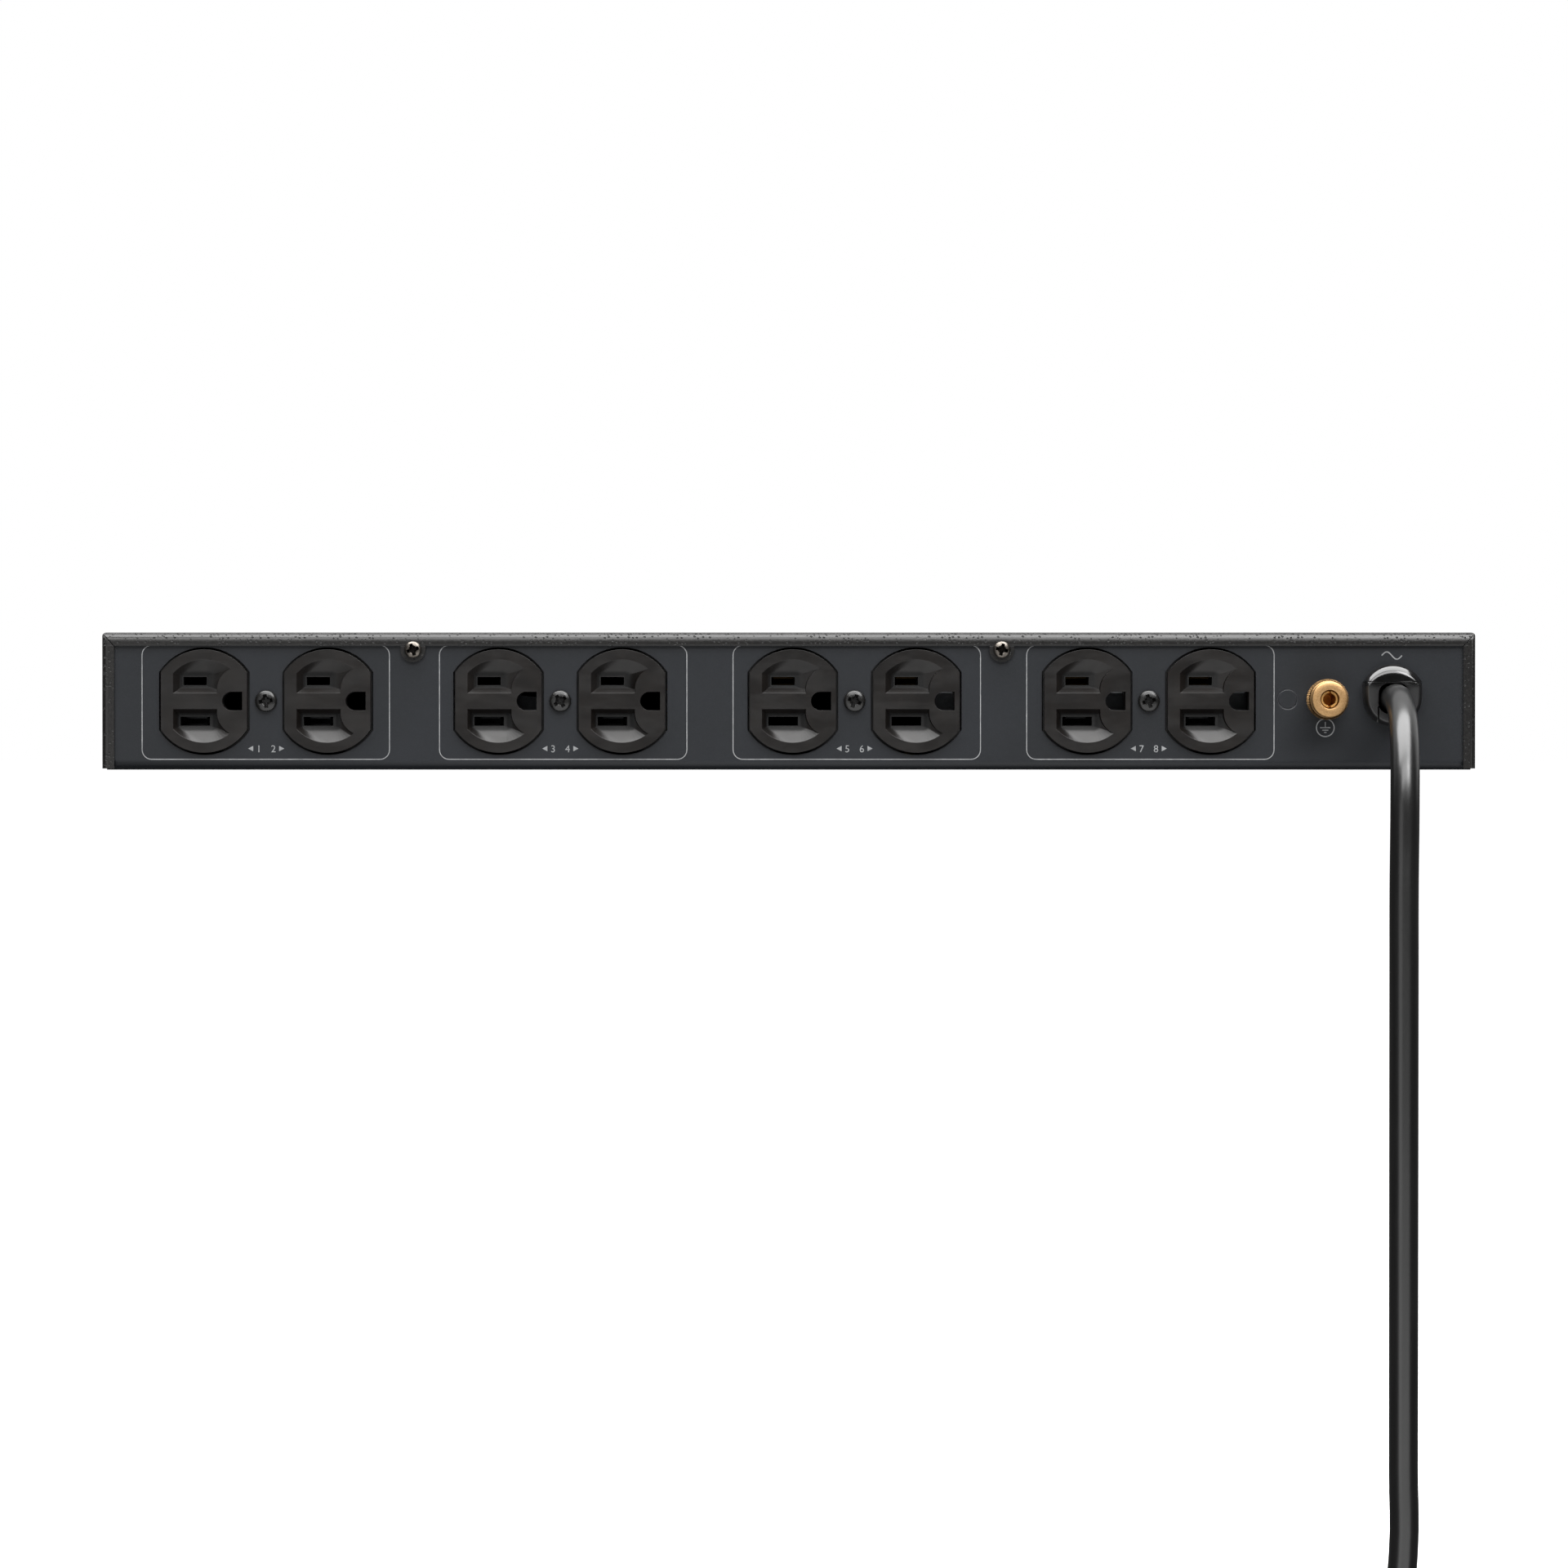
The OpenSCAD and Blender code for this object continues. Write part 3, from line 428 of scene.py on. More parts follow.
def screw_metal(name, low, high, rough, metal, spots, sink):
    """Screw metal darkened near black by painted shade down in the recess of each head.

    The heads at the spots, rows of (x, z), stand on the plane y = sink and face the rear.
    """
    material, m = shading(name)
    spot = m.place()
    cloud = m.noise(spot, 480, 3.0)
    fine = m.noise(spot, 3000, 4.0, 0.6)
    across, depth, up = m.split(spot)
    tone = m.mix(cloud.step(0.3, 0.7), low, high)
    near = 0.0
    for x, z in spots:
        near = hypotenuse(across - x, up - z).step(2.2 * MM, 2.0 * MM) + near
    # Painted shade: the recess of each head is darkened near black.
    dark = near * depth.step(sink - 1.5 * MM, sink - 1.15 * MM)
    m.surface(
        Base_Color=m.mix(dark * 0.9, tone, srgb(6, 5, 5)),
        Metallic=metal,
        Roughness=fine * (rough[1] - rough[0]) + rough[0],
        Normal=m.bump(fine, 0.02 * MM))
    return material


def laminate():
    """Green circuit board with the glass weave under its mask."""
    material, m = shading("board_laminate")
    spot = m.place()
    across, depth, _ = m.split(spot)
    pitch = 1.4 * MM
    turn = 2 * math.pi / pitch
    weave = (across * turn).math("SINE") * (depth * turn).math("SINE")
    cloud = m.noise(spot, 40, 3.0)
    m.surface(
        Base_Color=m.mix(weave * 0.2 + cloud * 0.6, srgb(24, 74, 42), srgb(46, 112, 64)),
        Roughness=cloud * 0.15 + 0.3,
        Normal=m.bump(weave, 0.01 * MM))
    return material


def build_finishes():
    """Every finish, by the name of its material slot."""
    made = {
        "cover_powder_coat": powder_coat(),
        "tray_slate_paint": panel_paint(),
        "outlet_black_plastic": outlet_plastic(),
        "glossy_black_nylon": nylon(),
        "cord_black_jacket": cord_jacket(),
        "tie_black_webbing": webbing(),
        "post_gold_plate": gold_plate(),
        "board_laminate": laminate(),
        "nickel_plate": screw_metal(
            "nickel_plate", srgb(74, 70, 66), srgb(112, 107, 101), (0.26, 0.42), 1.0,
            ear_spots, cover_y),
        "black_oxide_screw": screw_metal(
            "black_oxide_screw", srgb(8, 8, 8), srgb(16, 15, 14), (0.2, 0.36), 0.0,
            [(spot.x, 0.0) for spot in duplex_middles], panel_y),
    }
    metal = {"Metallic": 1.0}
    drawn = {"Metallic": 1.0, "stretch": (1, 8, 1)}
    brushed = {"stretch": (1, 1, 9)}
    # Name, two tones, range of roughness, mottle and grain a metre, grain depth in mm, the rest.
    rows = [
        ("panel_black_anodise", (17, 17, 18), (24, 24, 26), (0.34, 0.5), 30, 2200, 0.012, brushed),
        ("inner_grey_plastic", (62, 62, 64), (78, 77, 76), (0.45, 0.6), 90, 1800, 0.03, {}),
        ("plug_black_pvc", (18, 18, 19), (30, 30, 31), (0.38, 0.55), 110, 1500, 0.05, {}),
        ("contact_brass", (150, 116, 58), (190, 154, 90), (0.22, 0.42), 80, 2600, 0.01, drawn),
        ("contact_tin", (128, 128, 130), (160, 160, 162), (0.28, 0.5), 80, 2200, 0.012, drawn),
        # Darker copies of brass and tin for the contacts deep in the slots: painted shade.
        ("dull_brass", (44, 34, 18), (66, 52, 30), (0.4, 0.6), 80, 2600, 0.01, drawn),
        ("dull_tin", (40, 40, 41), (60, 60, 61), (0.4, 0.6), 80, 2200, 0.012, drawn),
        ("zinc_plate", (112, 114, 118), (146, 148, 150), (0.3, 0.5), 70, 1900, 0.015, metal),
        ("switch_black_plastic", (15, 15, 16), (26, 26, 27), (0.25, 0.4), 120, 2400, 0.012, {}),
        ("breaker_button_plastic", (206, 203, 195), (224, 222, 214), (0.3, 0.45), 160, 2600, 0.012, {}),
        ("capacitor_yellow", (196, 160, 48), (214, 180, 70), (0.3, 0.45), 60, 1500, 0.03, {}),
        ("ferrite", (52, 64, 54), (70, 82, 70), (0.4, 0.6), 90, 1200, 0.04, {}),
        ("copper_enamel", (168, 88, 42), (204, 118, 60), (0.16, 0.3), 200, 1800, 0.01, {"Metallic": 0.8}),
        ("varistor_blue", (32, 74, 138), (50, 98, 164), (0.25, 0.42), 120, 1200, 0.06, {}),
        ("wire_black", (18, 18, 19), (32, 32, 33), (0.32, 0.48), 150, 1500, 0.02, {}),
        ("wire_white", (206, 203, 196), (226, 224, 218), (0.32, 0.48), 150, 1500, 0.02, {}),
        ("wire_green", (40, 108, 52), (62, 136, 70), (0.32, 0.48), 150, 1500, 0.02, {}),
        ("lamp_lens", (70, 168, 78), (120, 206, 116), (0.08, 0.2), 300, 2400, 0.01, {"Coat_Weight": 0.4}),
        ("legend_ink", (112, 113, 114), (130, 131, 132), (0.45, 0.6), 500, 3000, 0.004, {}),
    ]
    for name, low, high, rough, mottle, grain, depth, more in rows:
        made[name] = finish(
            name, srgb(*low), srgb(*high), rough, mottle, grain, depth * MM, **more)
    return made


finishes = build_finishes()


# ---------- meshes ----------

def add_object(name, data):
    made = bpy.data.objects.new(name, data)
    scene.collection.objects.link(made)
    return made


def mesh_of(shape, name):
    """A mesh of a bmesh, which is then freed."""
    mesh = bpy.data.meshes.new(name)
    shape.to_mesh(mesh)
    shape.free()
    return mesh


def mesh_from(shape, name):
    """A mesh of a bmesh, with its faces turned outwards."""
    bmesh.ops.recalc_face_normals(shape, faces=shape.faces)
    return mesh_of(shape, name)


def smooth_by_angle(mesh, degrees=32):
    mesh.shade_smooth()
    mesh.set_sharp_from_angle(angle=math.radians(degrees))


def applied(made, name):
    """A plain object with the mesh that an object's modifiers give."""
    graph = bpy.context.evaluated_depsgraph_get()
    mesh = bpy.data.meshes.new_from_object(made.evaluated_get(graph))
    mesh.name = name
    bpy.data.objects.remove(made)
    return add_object(name, mesh)


def dressed(made, slot):
    """Gives an object the finish of a material slot."""
    made.data.materials.clear()
    made.data.materials.append(finishes[slot])
    return made


def place(made, body, stands_for=()):
    """Puts a finished piece on its body."""
    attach(made, body)
    if stands_for:
        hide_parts(*stands_for)
    return made


def piece(name, data, slot, stands_for=()):
    """A finished piece on the root body, of a mesh or a curve."""
    return place(dressed(add_object(name, data), slot), "root", stands_for)


def joined_copy(node, weld):
    """A CAD node's mesh as one connected shape, without the seams between its triangles.

    Vertices closer than the weld, in millimetres, become one.
    """
    shape = bmesh.new()
    shape.from_mesh(nodes[node].data)
    bmesh.ops.remove_doubles(shape, verts=shape.verts, dist=weld * MM)
    bmesh.ops.dissolve_limit(
        shape, angle_limit=math.radians(0.6), verts=shape.verts, edges=shape.edges)
    return mesh_of(shape, node)


def bevelled(made, width, segments, degrees, share=None):
    """Rounds an object's edges. A share is a function of an edge's middle: how much of the width."""
    bevel = made.modifiers.new("edges", "BEVEL")
    bevel.width = width * MM
    bevel.segments = segments
    bevel.limit_method = "WEIGHT" if share else "ANGLE"
    bevel.angle_limit = math.radians(degrees)
    bevel.miter_outer = "MITER_ARC"
    bevel.harden_normals = True
    if not share:
        return
    mesh = made.data
    weights = mesh.attributes.new("bevel_weight_edge", "FLOAT", "EDGE")
    shape = bmesh.new()
    shape.from_mesh(mesh)
    for edge in shape.edges:
        bent = len(edge.link_faces) == 2 and edge.calc_face_angle(0) > math.radians(degrees)
        half_way = (edge.verts[0].co + edge.verts[1].co) / 2
        weights.data[edge.index].value = share(half_way) if bent else 0.0
    shape.free()


def softened(node, width, segments=2, degrees=35, slot=None, body="root", share=None, weld=0.001):
    """A CAD node with its edges rounded by a width in millimetres."""
    name = node + "_finished"
    made = add_object(name, joined_copy(node, weld))
    bevelled(made, width, segments, degrees, share)
    made = applied(made, name)
    dressed(made, slot)
    return place(made, body, [node])


def outlet_edge_share(spot):
    """Full rounding at an outlet's face, except at the sharp ends of its funnels."""
    funnel_x = 8.45 * MM
    funnel_z = 10.1 * MM
    near = 1.7 * MM
    if spot.y > panel_y - 1 * MM:
        return 0.0
    for duplex in duplex_middles:
        for side in (-1, 1):
            across = spot.x - duplex.x - side * outlet_offset - funnel_x
            if math.hypot(across, abs(spot.z) - funnel_z) < near:
                return 0.0
    return 1.0


def skin(shape, first, second, closed=True):
    """Faces between two rows of vertices, and from their ends back to their starts if closed."""
    count = len(first)
    for i in range(count if closed else count - 1):
        k = (i + 1) % count
        shape.faces.new((first[i], first[k], second[k], second[i]))


def loft(name, rings):
    """A closed shell through rings of points, with both ends capped."""
    shape = bmesh.new()
    loops = [[shape.verts.new(point) for point in ring] for ring in rings]
    for first, second in zip(loops, loops[1:]):
        skin(shape, first, second)
    shape.faces.new(loops[0][::-1])
    shape.faces.new(loops[-1])
    return mesh_from(shape, name)


def lathe(name, profile, sides):
    """A ring turned round the Z axis from a closed profile of radius and height."""
    shape = bmesh.new()
    loops = []
    for i in range(sides):
        angle = 2 * math.pi * i / sides
        loops.append([
            shape.verts.new((r * math.cos(angle), r * math.sin(angle), h)) for r, h in profile])
    for first, second in zip(loops, loops[1:] + loops[:1]):
        skin(shape, first, second)
    return mesh_from(shape, name)


# ---------- the cord ----------

CORD_ROUTE = [
    (191, -221, 0.8), (191, -226, 0.8), (190.8, -236, -0.5), (190.6, -245, -4.3),
    (190.2, -253, -10.3), (189.8, -259, -18.2), (189.4, -262.7, -27.4), (189.2, -264, -37.2),
    *[(189, -264, -58 - 22 * i) for i in range(8)],
    (189, -264, -236), (189, -264, -262.5), (187.7, -264, -272.3), (184, -264, -281.5),
    (178, -264, -289.4), (170, -264, -295.4), (161, -264, -299.2), (151, -264, -300.5),
]
TAIL_ROUTE = [
    (81.8, -194, -309), (81.8, -185, -306.5), (81.8, -175, -303.5), (81.8, -164, -302.5),
]
COIL_CENTRE = (146, -202)
COIL_TURNS = 4.25
COIL_UPPER_TURNS = 2
COIL_INNER_R = 44
COIL_UPPER_Z = -300.5
COIL_LOWER_Z = -309.5


def coil_point(turns):
    """The cord's centre after so many turns: inwards on the upper layer, outwards on the lower."""
    radius = COIL_INNER_R + abs(turns - COIL_UPPER_TURNS) * cord_d / MM
    angle = -math.pi / 2 - 2 * math.pi * turns
    step_start = 1.85
    step_turns = 0.3
    share = min(1, max(0, (turns - step_start) / step_turns))
    share = share * share * (3 - 2 * share)
    return (
        COIL_CENTRE[0] + radius * math.cos(angle),
        COIL_CENTRE[1] + radius * math.sin(angle),
        COIL_UPPER_Z + (COIL_LOWER_Z - COIL_UPPER_Z) * share,
    )


def make_cord():
    """One curve from inside the gland, down to its coil, and on to the plug."""
    per_turn = 20
    start = (191, -213, 0.8)
    coil = [coil_point(i / per_turn) for i in range(int(COIL_TURNS * per_turn) + 1)]
    points = [start, *CORD_ROUTE, *coil, *TAIL_ROUTE]
    curve = bpy.data.curves.new("mains_cord_whole", "CURVE")
    curve.dimensions = "3D"
    curve.resolution_u = 4
    curve.bevel_depth = cord_r
    curve.bevel_resolution = 8
    curve.use_fill_caps = True
    spline = curve.splines.new("BEZIER")
    spline.bezier_points.add(len(points) - 1)
    for knot, point in zip(spline.bezier_points, points):
        knot.co = Vector(point) * MM
        knot.handle_left_type = "AUTO"
        knot.handle_right_type = "AUTO"
    return piece(
        "mains_cord_whole", curve, "cord_black_jacket", ["mains_cord", "cord_coil", "cord_tail"])


def rounded_loop(low, high, radius, steps=6):
    """Points round a rectangle with rounded corners, counter-clockwise."""
    corners = [
        (high[0] - radius, high[1] - radius, 0), (low[0] + radius, high[1] - radius, 90),
        (low[0] + radius, low[1] + radius, 180), (high[0] - radius, low[1] + radius, 270),
    ]
    points = []
    for x, y, turn in corners:
        for i in range(steps + 1):
            angle = math.radians(turn + 90 * i / steps)
            points.append((x + radius * math.cos(angle), y + radius * math.sin(angle)))
    return points


def make_tie():
    """A hook-and-loop strap round the coil's back."""
    inner = rounded_loop((43.3, -314.05), (62.7, -295.95), 4.6, 8)
    outer = rounded_loop((42.4, -314.95), (63.6, -295.05), 5.5, 8)
    half = 8
    edge = 0.25
    centre = Vector((*COIL_CENTRE, 0))
    section = [
        (inner, -half), (outer, -half + edge), (outer, half - edge), (inner, half), (inner, 0)]
    shape = bmesh.new()
    loops = [
        [shape.verts.new((centre + Vector((x, y, z))) * MM) for y, z in points]
        for points, x in section]
    for first, second in zip(loops, loops[1:] + loops[:1]):
        skin(shape, first, second)
    mesh = mesh_from(shape, "cord_strap")
    smooth_by_angle(mesh, 50)
    return piece("cord_strap", mesh, "tie_black_webbing", ["cord_tie"])


PLUG_AT = (81.75, -164, -302.5)


def plug_ring(y, share, inset=0.0):
    """One section of the plug: a circle at the cord's end, a rounded rectangle at its face."""
    steps = 12
    corner_r = 6 - inset * 0.5
    round_r = 6.7
    wide = rounded_loop((-17 + inset, -12.5 + inset), (13 - inset, 12.5 - inset), corner_r, steps)
    ring = []
    for x, z in wide:
        angle = math.atan2(z, x + 2)
        on_circle = Vector((round_r * math.cos(angle), y, round_r * math.sin(angle)))
        on_face = Vector((x, y, z))
        ring.append((Vector(PLUG_AT) + on_circle.lerp(on_face, share)) * MM)
    return ring


def make_plug():
    """The moulded plug: a waisted grip with ridges, and a ribbed sleeve round the cord."""
    steps = 14
    rings = []
    for i in range(steps + 1):
        rings.append(plug_ring(23 + i * 17 / steps, (i / steps) ** 1.25))
    for ridge in range(3):
        for along, inset in ((0, 0), (0.35, 0.5), (1.05, 0.5), (1.4, 0)):
            rings.append(plug_ring(41.2 + ridge * 2.2 + along, 1, inset))
    for y, inset in ((49, 0), (49.6, 0.25), (50, 0.9)):
        rings.append(plug_ring(y, 1, inset))
    grip = loft("plug_grip", rings)
    smooth_by_angle(grip, 35)
    made = piece("plug_grip", grip, "plug_black_pvc", ["plug_body"])
    bore = 4.4
    rib_shape = [(-0.25, 0), (0, 0.3), (0.05, 2.1), (-0.2, 2.4), (-0.7, 2.6), (-0.7, 3.8)]
    profile = [(bore, 0.2)]
    for rib in range(6):
        start = 0.2 + rib * 4.0
        r = 5.5 + rib * 0.22
        profile += [(r + out, start + along) for out, along in rib_shape]
    profile += [(6.6, 24.4), (bore, 24.4)]
    mesh = lathe("plug_sleeve", [(r * MM, h * MM) for r, h in profile], 40)
    mesh.transform(Matrix.Translation(Vector(PLUG_AT) * MM) @ Matrix.Rotation(-math.pi / 2, 4, "X"))
    smooth_by_angle(mesh, 35)
    return [made, piece("plug_sleeve", mesh, "plug_black_pvc")]


cord = make_cord()
tie = make_tie()
plug_pieces = make_plug()
pins = softened("plug_pins", 0.25, slot="contact_brass")


# ---------- screws and knurls, grown by geometry nodes ----------

def new_tree(name, numbers, counts=()):
    """A geometry node tree with named inputs and a finish. Returns it, its maker and its inputs."""
    tree = bpy.data.node_groups.new(name, "GeometryNodeTree")
    kinds = {
        "Geometry": "Geometry", **dict.fromkeys(numbers, "Float"), **dict.fromkeys(counts, "Int"),
        "Finish": "Material"}
    for socket, kind in kinds.items():
        tree.interface.new_socket(socket, in_out="INPUT", socket_type="NodeSocket" + kind)
    tree.interface.new_socket("Geometry", in_out="OUTPUT", socket_type="NodeSocketGeometry")
    maker = Maker(tree)
    entry = maker.add("NodeGroupInput")
    return tree, maker, {socket: entry.out(socket) for socket in kinds}


def end_tree(maker, geometry, material):
    """Every tree ends in real geometry with its finish on it."""
    real = maker.add("GeometryNodeRealizeInstances", None, {"Geometry": geometry})
    coated = maker.add("GeometryNodeSetMaterial", None, {"Geometry": real, "Material": material})
    maker.add("NodeGroupOutput", None, {"Geometry": coated})


def grown(name, base, tree, settings):
    """The plain mesh object that a geometry node tree makes of a base mesh."""
    seed = add_object(name + "_seed", base)
    modifier = seed.modifiers.new("grow", "NODES")
    modifier.node_group = tree
    for socket in tree.interface.items_tree:
        if socket.in_out == "INPUT" and socket.name in settings:
            modifier[socket.identifier] = settings[socket.name]
    made = applied(seed, name)
    smooth_by_angle(made.data, 38)
    return made


def screw_tree():
    """Pan-head screws with a cross recess, one at each point, facing the way the point says."""
    tree, m, ins = new_tree("pan_head_screws", (
        "Head radius", "Head height", "Shank radius", "Shank length", "Cross width",
        "Thread pitch"))
    head_r = ins["Head radius"]
    head_h = ins["Head height"]
    disc = m.add(
        "GeometryNodeMeshCylinder", {"fill_type": "TRIANGLE_FAN"},
        {"Vertices": 40, "Side Segments": 1, "Fill Segments": 7, "Radius": head_r, "Depth": head_h})
    x, y, z = m.split(m.add("GeometryNodeInputPosition"))
    radius = hypotenuse(x, y)
    share = radius / head_r
    angle = share * (math.pi / 2)
    spread = angle.math("SINE") / share.math("MAXIMUM", 0.001)
    rise = angle.math("COSINE").math("MAXIMUM", 0.0) ** 0.75
    above = z.math("GREATER_THAN", 0.0)
    height = above * (rise * 0.6 + 0.4) * head_h
    widen = above * spread + (1.0 - above)
    domed = m.join(x * widen, y * widen, height)
    head = m.add("GeometryNodeSetPosition", None, {"Geometry": disc, "Position": domed})
    wing_r = ins["Cross width"] * 0.7071
    wing = m.add(
        "GeometryNodeMeshCone", {"fill_type": "NGON"},
        {"Vertices": 4, "Radius Top": wing_r, "Radius Bottom": wing_r * 0.45, "Depth": head_h})
    wings = []
    for turn in (0.0, 90.0):
        square = m.moved(
            wing, Rotation=(0.0, 0.0, math.radians(45)), Translation=m.join(z=head_h * 0.22))
        narrow = m.moved(square, Scale=(1.0, 0.27, 1.0))
        wings.append(m.moved(narrow, Rotation=(0.0, 0.0, math.radians(turn))))
    heart = m.add(
        "GeometryNodeMeshCone", {"fill_type": "NGON"},
        {"Vertices": 12, "Radius Top": wing_r * 0.5, "Radius Bottom": 0.0, "Depth": head_h})
    heart = m.moved(heart, Translation=m.join(z=head_h * 0.15))
    cut = head
    for tool in (*wings, heart):
        cut = m.add(
            "GeometryNodeMeshBoolean", {"operation": "DIFFERENCE", "solver": "EXACT"},
            {0: cut, 1: tool})
    shank_l = ins["Shank length"]
    shank = m.add(
        "GeometryNodeMeshCylinder", {"fill_type": "NGON"},
        {"Vertices": 16, "Side Segments": 20, "Radius": ins["Shank radius"], "Depth": shank_l})
    ridge = (z / ins["Thread pitch"]).math("PINGPONG", 0.5) * 0.24 + 0.88
    threaded = m.join(x * ridge, y * ridge, z - shank_l * 0.5 + head_h * 0.05)
    shank = m.add("GeometryNodeSetPosition", None, {"Geometry": shank, "Position": threaded})
    screw = m.add("GeometryNodeJoinGeometry", None, {"Geometry": [cut, shank]})
    facing = m.add(
        "GeometryNodeInputNamedAttribute", {"data_type": "FLOAT_VECTOR"}, {"Name": "facing"})
    turned = m.add(
        "GeometryNodeInputNamedAttribute", {"data_type": "FLOAT"}, {"Name": "turned"})
    aligned = m.add("FunctionNodeAlignRotationToVector", {"axis": "Z"}, {"Vector": facing})
    rotation = m.add(
        "FunctionNodeRotateRotation", {"rotation_space": "LOCAL"},
        {"Rotation": aligned, "Rotate By": m.join(z=turned)})
    placed = m.add("GeometryNodeInstanceOnPoints", None, {
        "Points": ins["Geometry"], "Instance": screw, "Rotation": rotation})
    end_tree(m, placed, ins["Finish"])
    return tree


def point_mesh(name, spots):
    """Points with the way each faces and how far it is turned: rows of (place, facing, turn)."""
    mesh = bpy.data.meshes.new(name)
    mesh.from_pydata([spot for spot, facing, turn in spots], [], [])
    mesh.attributes.new("facing", "FLOAT_VECTOR", "POINT")
    mesh.attributes.new("turned", "FLOAT", "POINT")
    for i, (spot, facing, turn) in enumerate(spots):
        mesh.attributes["facing"].data[i].vector = facing
        mesh.attributes["turned"].data[i].value = math.radians(turn)
    return mesh


screws = screw_tree()


def add_screws(name, spots, sizes, slot, node):
    """Screws in place of a CAD node. Sizes: head radius and height, shank's too, cross width."""
    head_r, head_h, shank_r, shank_l, cross = (size * MM for size in sizes)
    made = grown(name, point_mesh(name, spots), screws, {
        "Head radius": head_r, "Head height": head_h, "Shank radius": shank_r,
        "Shank length": shank_l, "Cross width": cross, "Thread pitch": 0.8 * MM,
        "Finish": finishes[slot]})
    return place(made, "root", [node])


def add_all_screws():
    rear = (0, -1, 0)
    front = (0, 1, 0)
    front_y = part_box("front_panel")[1].y
    side_z = middle("cover_side_screws").z
    turns = [8, 34, -20, 15, 40, -8, 22, 3]
    duplex = [
        ((spot.x, panel_y, 0), rear, turns[i]) for i, spot in enumerate(duplex_middles)]
    black = "black_oxide_screw"
    add_screws("duplex_screws", duplex, (3.45, 2, 1.7, 19, 5.4), black, "outlet_screws")
    ears = [((x, cover_y, z), rear, turn) for (x, z), turn in zip(ear_spots, (18, -14))]
    add_screws("ear_screws", ears, (2.7, 1.85, 1.5, 6, 5.0), "nickel_plate", "cover_rear_screws")
    fronts = [
        ((x * 206 * MM, front_y, z * 14 * MM), front, turns[i + 3])
        for i, (x, z) in enumerate(((-1, -1), (-1, 1), (1, -1), (1, 1)))]
    add_screws("panel_screws", fronts, (2.7, 1.9, 1.5, 6, 4.2), black, "front_panel_screws")
    sides = [
        ((side * cover_half, y * MM, side_z), (side, 0, 0), turns[i])
        for i, y in enumerate((-190, -110, -30)) for side in (-1, 1)]
    add_screws("side_screws", sides, (2.7, 1.75, 1.5, 5, 4.2), black, "cover_side_screws")


add_all_screws()


def knurl_tree():
    """Rows of small pyramids round a barrel on the Z axis, staggered like a diamond knurl."""
    tree, m, ins = new_tree("diamond_knurl", (
        "Barrel radius", "Band height", "Band middle", "Tooth width", "Tooth length",
        "Tooth rise"), ("Teeth", "Rows"))
    band = m.add(
        "GeometryNodeMeshCylinder", {"fill_type": "NONE"},
        {"Vertices": ins["Teeth"], "Side Segments": ins["Rows"], "Radius": ins["Barrel radius"],
         "Depth": ins["Band height"]})
    place_of = m.add("GeometryNodeInputPosition")
    x, y, z = m.split(place_of)
    gap = ins["Band height"] / ins["Rows"]
    odd = (z / gap).math("ROUND").math("FLOORED_MODULO", 2.0)
    swing = odd * math.pi / ins["Teeth"]
    turned = m.add(
        "ShaderNodeVectorRotate", {"rotation_type": "Z_AXIS"}, {"Vector": place_of, "Angle": swing})
    staggered = m.add("GeometryNodeSetPosition", None, {"Geometry": band, "Position": turned})
    tooth = m.add(
        "GeometryNodeMeshCone", {"fill_type": "NGON"},
        {"Vertices": 4, "Radius Top": 0.06, "Radius Bottom": 0.5, "Depth": 1.0})
    tooth = m.moved(
        tooth, Scale=m.join(ins["Tooth width"], ins["Tooth length"], ins["Tooth rise"]))
    outward = m.join(x, y)
    stand = m.add("FunctionNodeAlignRotationToVector", {"axis": "Z"}, {"Vector": outward})
    stand = m.add(
        "FunctionNodeAlignRotationToVector", {"axis": "Y", "pivot_axis": "Z"},
        {"Rotation": stand, "Vector": (0.0, 0.0, 1.0)})
    teeth = m.add("GeometryNodeInstanceOnPoints", None, {
        "Points": staggered, "Instance": tooth, "Rotation": stand})
    teeth = m.moved(teeth, Translation=m.join(z=ins["Band middle"]))
    whole = m.add("GeometryNodeJoinGeometry", None, {"Geometry": [ins["Geometry"], teeth]})
    end_tree(m, whole, ins["Finish"])
    return tree


def add_knob():
    """The post's knurled knob with its turned front ring. Heights run out of the panel."""
    bore = 2.95
    profile = [
        (bore, 3.4), (5.5, 3.4), (5.95, 3.75), (5.95, 10.2), (5.6, 10.6), (5.25, 10.75),
        (5.25, 11.3), (5.5, 11.5), (5.65, 11.8), (5.65, 14.45), (5.6, 14.68), (5.45, 14.85),
        (5.25, 14.92), (5.1, 15.0), (3.15, 15.0), (3.0, 14.95), (bore, 14.8)]
    core = lathe("knob_core", [(r * MM, h * MM) for r, h in profile], 72)
    teeth = 42
    rows = 10
    band = 5.6
    barrel_r = 5.98
    made = grown("ground_post_knurled_knob", core, knurl_tree(), {
        "Barrel radius": barrel_r * MM, "Band height": band * MM, "Band middle": 7.0 * MM,
        "Teeth": teeth, "Rows": rows, "Tooth width": 2 * math.pi * barrel_r / teeth * MM,
        "Tooth length": 2 * band / rows * MM, "Tooth rise": 0.42 * MM,
        "Finish": finishes["post_gold_plate"]})
    made.data.transform(
        Matrix.Translation((post_x, panel_y, post_z)) @ Matrix.Rotation(math.pi / 2, 4, "X"))
    return place(made, "knob", ["ground_post_knob"])


add_knob()


# ---------- the gland ----------

